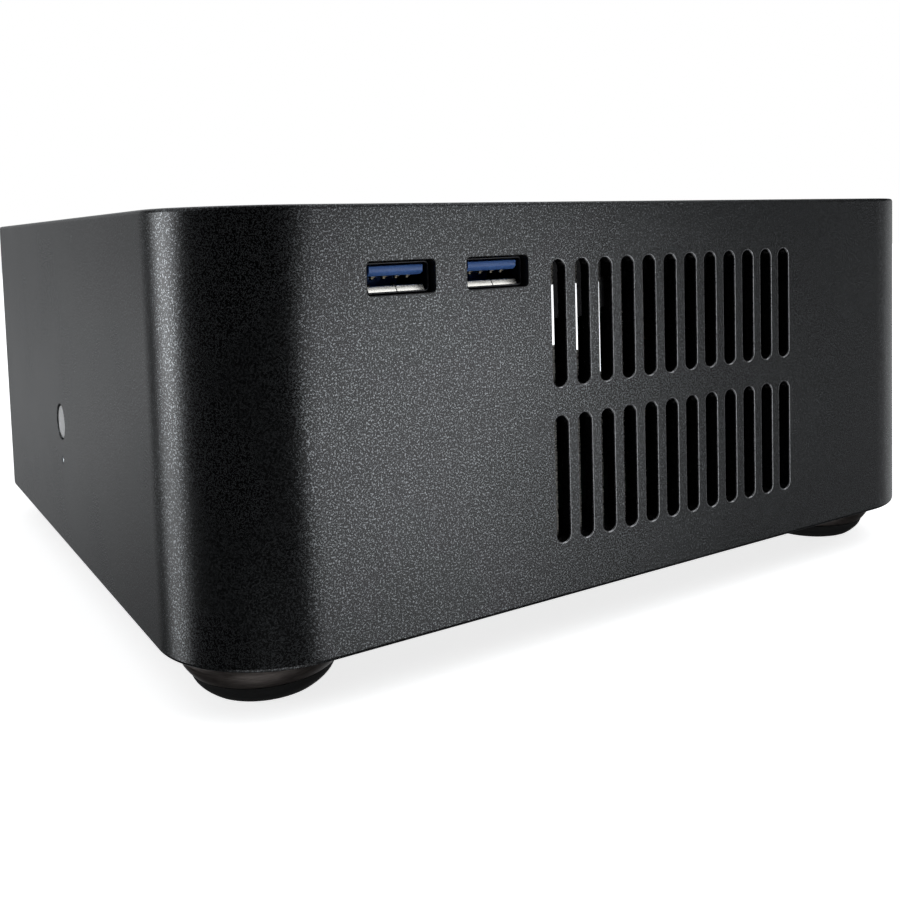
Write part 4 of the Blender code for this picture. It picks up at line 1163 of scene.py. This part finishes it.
def build_inlet():
    """The panel socket with its barrel and flange, and the pin inside it."""
    low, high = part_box("power_inlet")
    middle = (low + high) / 2
    place = shift((middle.x, REAR_Y, middle.z)) @ TO_REAR
    face = high.y - REAR_Y
    flange = -WALL - GAP
    bore = 2.8 * MM
    end = low.y - REAR_Y
    barrel = [(0, -9 * MM), (bore, -9 * MM), (bore, face - 0.3 * MM), (bore + 0.3 * MM, face),
              (3.75 * MM, face), (4.0 * MM, face - 0.25 * MM), (4.0 * MM, flange),
              (6.2 * MM, flange), (6.2 * MM, flange - 2.5 * MM), (4.0 * MM, flange - 2.5 * MM),
              (4.0 * MM, end), (0, end)]
    keep(turned_object("power_inlet_fine", barrel, 64, "black_plastic", place),
         "power_inlet")
    pin = in_mm((0, -8.99), (1, -8.99), (1, -2.3), (0.75, -2.05), (0.35, -2), (0, -2))
    keep(turned_object("inlet_pin", pin, 40, "contact_gold", place))


# ---------------- fan and boards

def build_fan_frame():
    """The fan's frame with a flared bore, a hub plate and four struts."""
    low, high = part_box("fan_frame")
    look = "black_plastic"
    half = (high.x - low.x) / 2
    thick = high.z - low.z
    place = shift((COOLER_X, COOLER_Y, low.z))
    mesh = bmesh.new()
    add_slab(mesh, lambda inset: rounded_outline(half - inset, half - inset, 4 * MM - inset, 10),
             0, thick, 0.4 * MM)
    shell = make_object("fan_frame_fine", mesh, look, place)
    cuts = bmesh.new()
    add_hole(cuts, round_hole(FAN_BORE_R, 96), -MM, thick, rim=0.9 * MM)
    corner = half - 4.2 * MM
    for x in (-corner, corner):
        for y in (-corner, corner):
            add_hole(cuts, round_hole(2.1 * MM, 32, (x, y)), -MM, thick)
    combine(shell, cuts, look, place)
    hub = bmesh.new()
    add_turned(hub, in_mm((0, 0.2), (14.8, 0.2), (15, 0.4), (15, 2.2), (14.8, 2.4), (0, 2.4)), 64)
    combine(shell, hub, look, place, "UNION")
    for arm in range(4):
        strut = bmesh.new()
        add_block(strut, (14 * MM, -1.6 * MM, 0.2 * MM), (FAN_BORE_R + MM, 1.6 * MM, 2.4 * MM),
                  0.3 * MM)
        combine(shell, strut, look, place @ Matrix.Rotation(pi / 2 * arm + pi / 4, 4, "Z"),
                "UNION", SHARP_TURNED)
    keep(shell, "fan_frame")


def build_fan_rotor():
    """The rotor's hub with its curved blades."""
    low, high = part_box("fan_rotor")
    look = "black_plastic"
    top = high.z - low.z
    place = shift((COOLER_X, COOLER_Y, low.z))
    profile = [
        (0, 0), (HUB_R - 0.2 * MM, 0), (HUB_R, 0.2 * MM), (HUB_R, top - 1.2 * MM),
        (HUB_R - 0.35 * MM, top - 0.35 * MM), (HUB_R - 1.2 * MM, top), (9.2 * MM, top),
        (9 * MM, top - 0.25 * MM), (0, top - 0.25 * MM),
    ]
    rotor = turned_object("fan_rotor_fine", profile, 96, look, place)
    blades = bmesh.new()
    for blade in range(BLADE_COUNT):
        add_blade(blades, 2 * pi * blade / BLADE_COUNT, 0.3 * MM, top - 0.6 * MM)
    combine(rotor, blades, look, place, "UNION", SHARP_BLADES)
    keep(rotor, "fan_rotor", "fan_rotor")


def add_blade(mesh, angle, low, high):
    """One twisted blade with an aerofoil section, thin at both edges."""
    spans, chords = 10, 12
    thickness = 1.1 * MM
    root_r, tip_r = HUB_R - MM, FAN_BORE_R - 0.9 * MM
    sections = []
    for span in range(spans + 1):
        t = span / spans
        radius = root_r + (tip_r - root_r) * t
        start = angle + BLADE_TWIST * t
        upper, lower = [], []
        for chord in range(chords + 1):
            c = chord / chords
            turn = start + BLADE_SWEEP * c
            arch = 0.9 * MM * sin(pi * c)
            z = low + (high - low - thickness) * c + arch * 0.5
            half = thickness * (0.12 + 0.38 * sin(pi * min(c * 1.25, 1.0) ** 0.8))
            centre = min(max(z + thickness / 2, low + half), high - half)
            point = (radius * cos(turn), radius * sin(turn))
            upper.append((*point, centre + half))
            lower.append((*point, centre - half))
        sections.append([mesh.verts.new(point) for point in lower + upper[::-1]])
    mesh.faces.new(list(reversed(sections[0])))
    mesh.faces.new(sections[-1])
    for inner, outer in zip(sections, sections[1:]):
        bridge(mesh, inner, outer)


def build_memory_chips():
    """Rows of chips on both faces of the memory modules."""
    for side in SIDES:
        low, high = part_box(f"memory_module_{side}")
        middle = (low.x + high.x) / 2
        pitch = (high.y - low.y - 10 * MM) / CHIPS_PER_SIDE
        chips = bmesh.new()
        for sign in SIGNS:
            face = middle + sign * 1.9 * MM
            inner, outer = sorted((face - sign * 0.2 * MM, face + sign * 0.35 * MM))
            for index in range(CHIPS_PER_SIDE):
                y = low.y + 5 * MM + pitch * (index + 0.5)
                add_block(chips, (inner, y - 5.2 * MM, high.z - 17 * MM),
                          (outer, y + 5.2 * MM, high.z - 4 * MM), 0.12 * MM)
        made = make_object(f"memory_chips_{side}", chips, "black_plastic")
        keep(made)


# ---------------- the kept CAD nodes

def dress_cad_nodes():
    """Gives every CAD node that is still shown its detailed finish."""
    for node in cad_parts.values():
        if node.hide_render:
            continue
        for slot in node.material_slots:
            slot.material = LOOKS[slot.material.name.split(".")[0]]


# ---------------- all of it

def main():
    build_camera()
    build_studio()
    build_floor()
    for build in (
        build_shell, build_plates, build_flush_screws, build_feet, build_button,
        build_indicator, build_front_ports, build_grille_strips, build_usb_stack,
        build_lan_jack, build_video_port, build_audio_jacks, build_io_shield, build_inlet,
        build_fan_frame, build_fan_rotor, build_memory_chips, dress_cad_nodes,
    ):
        build()


main()
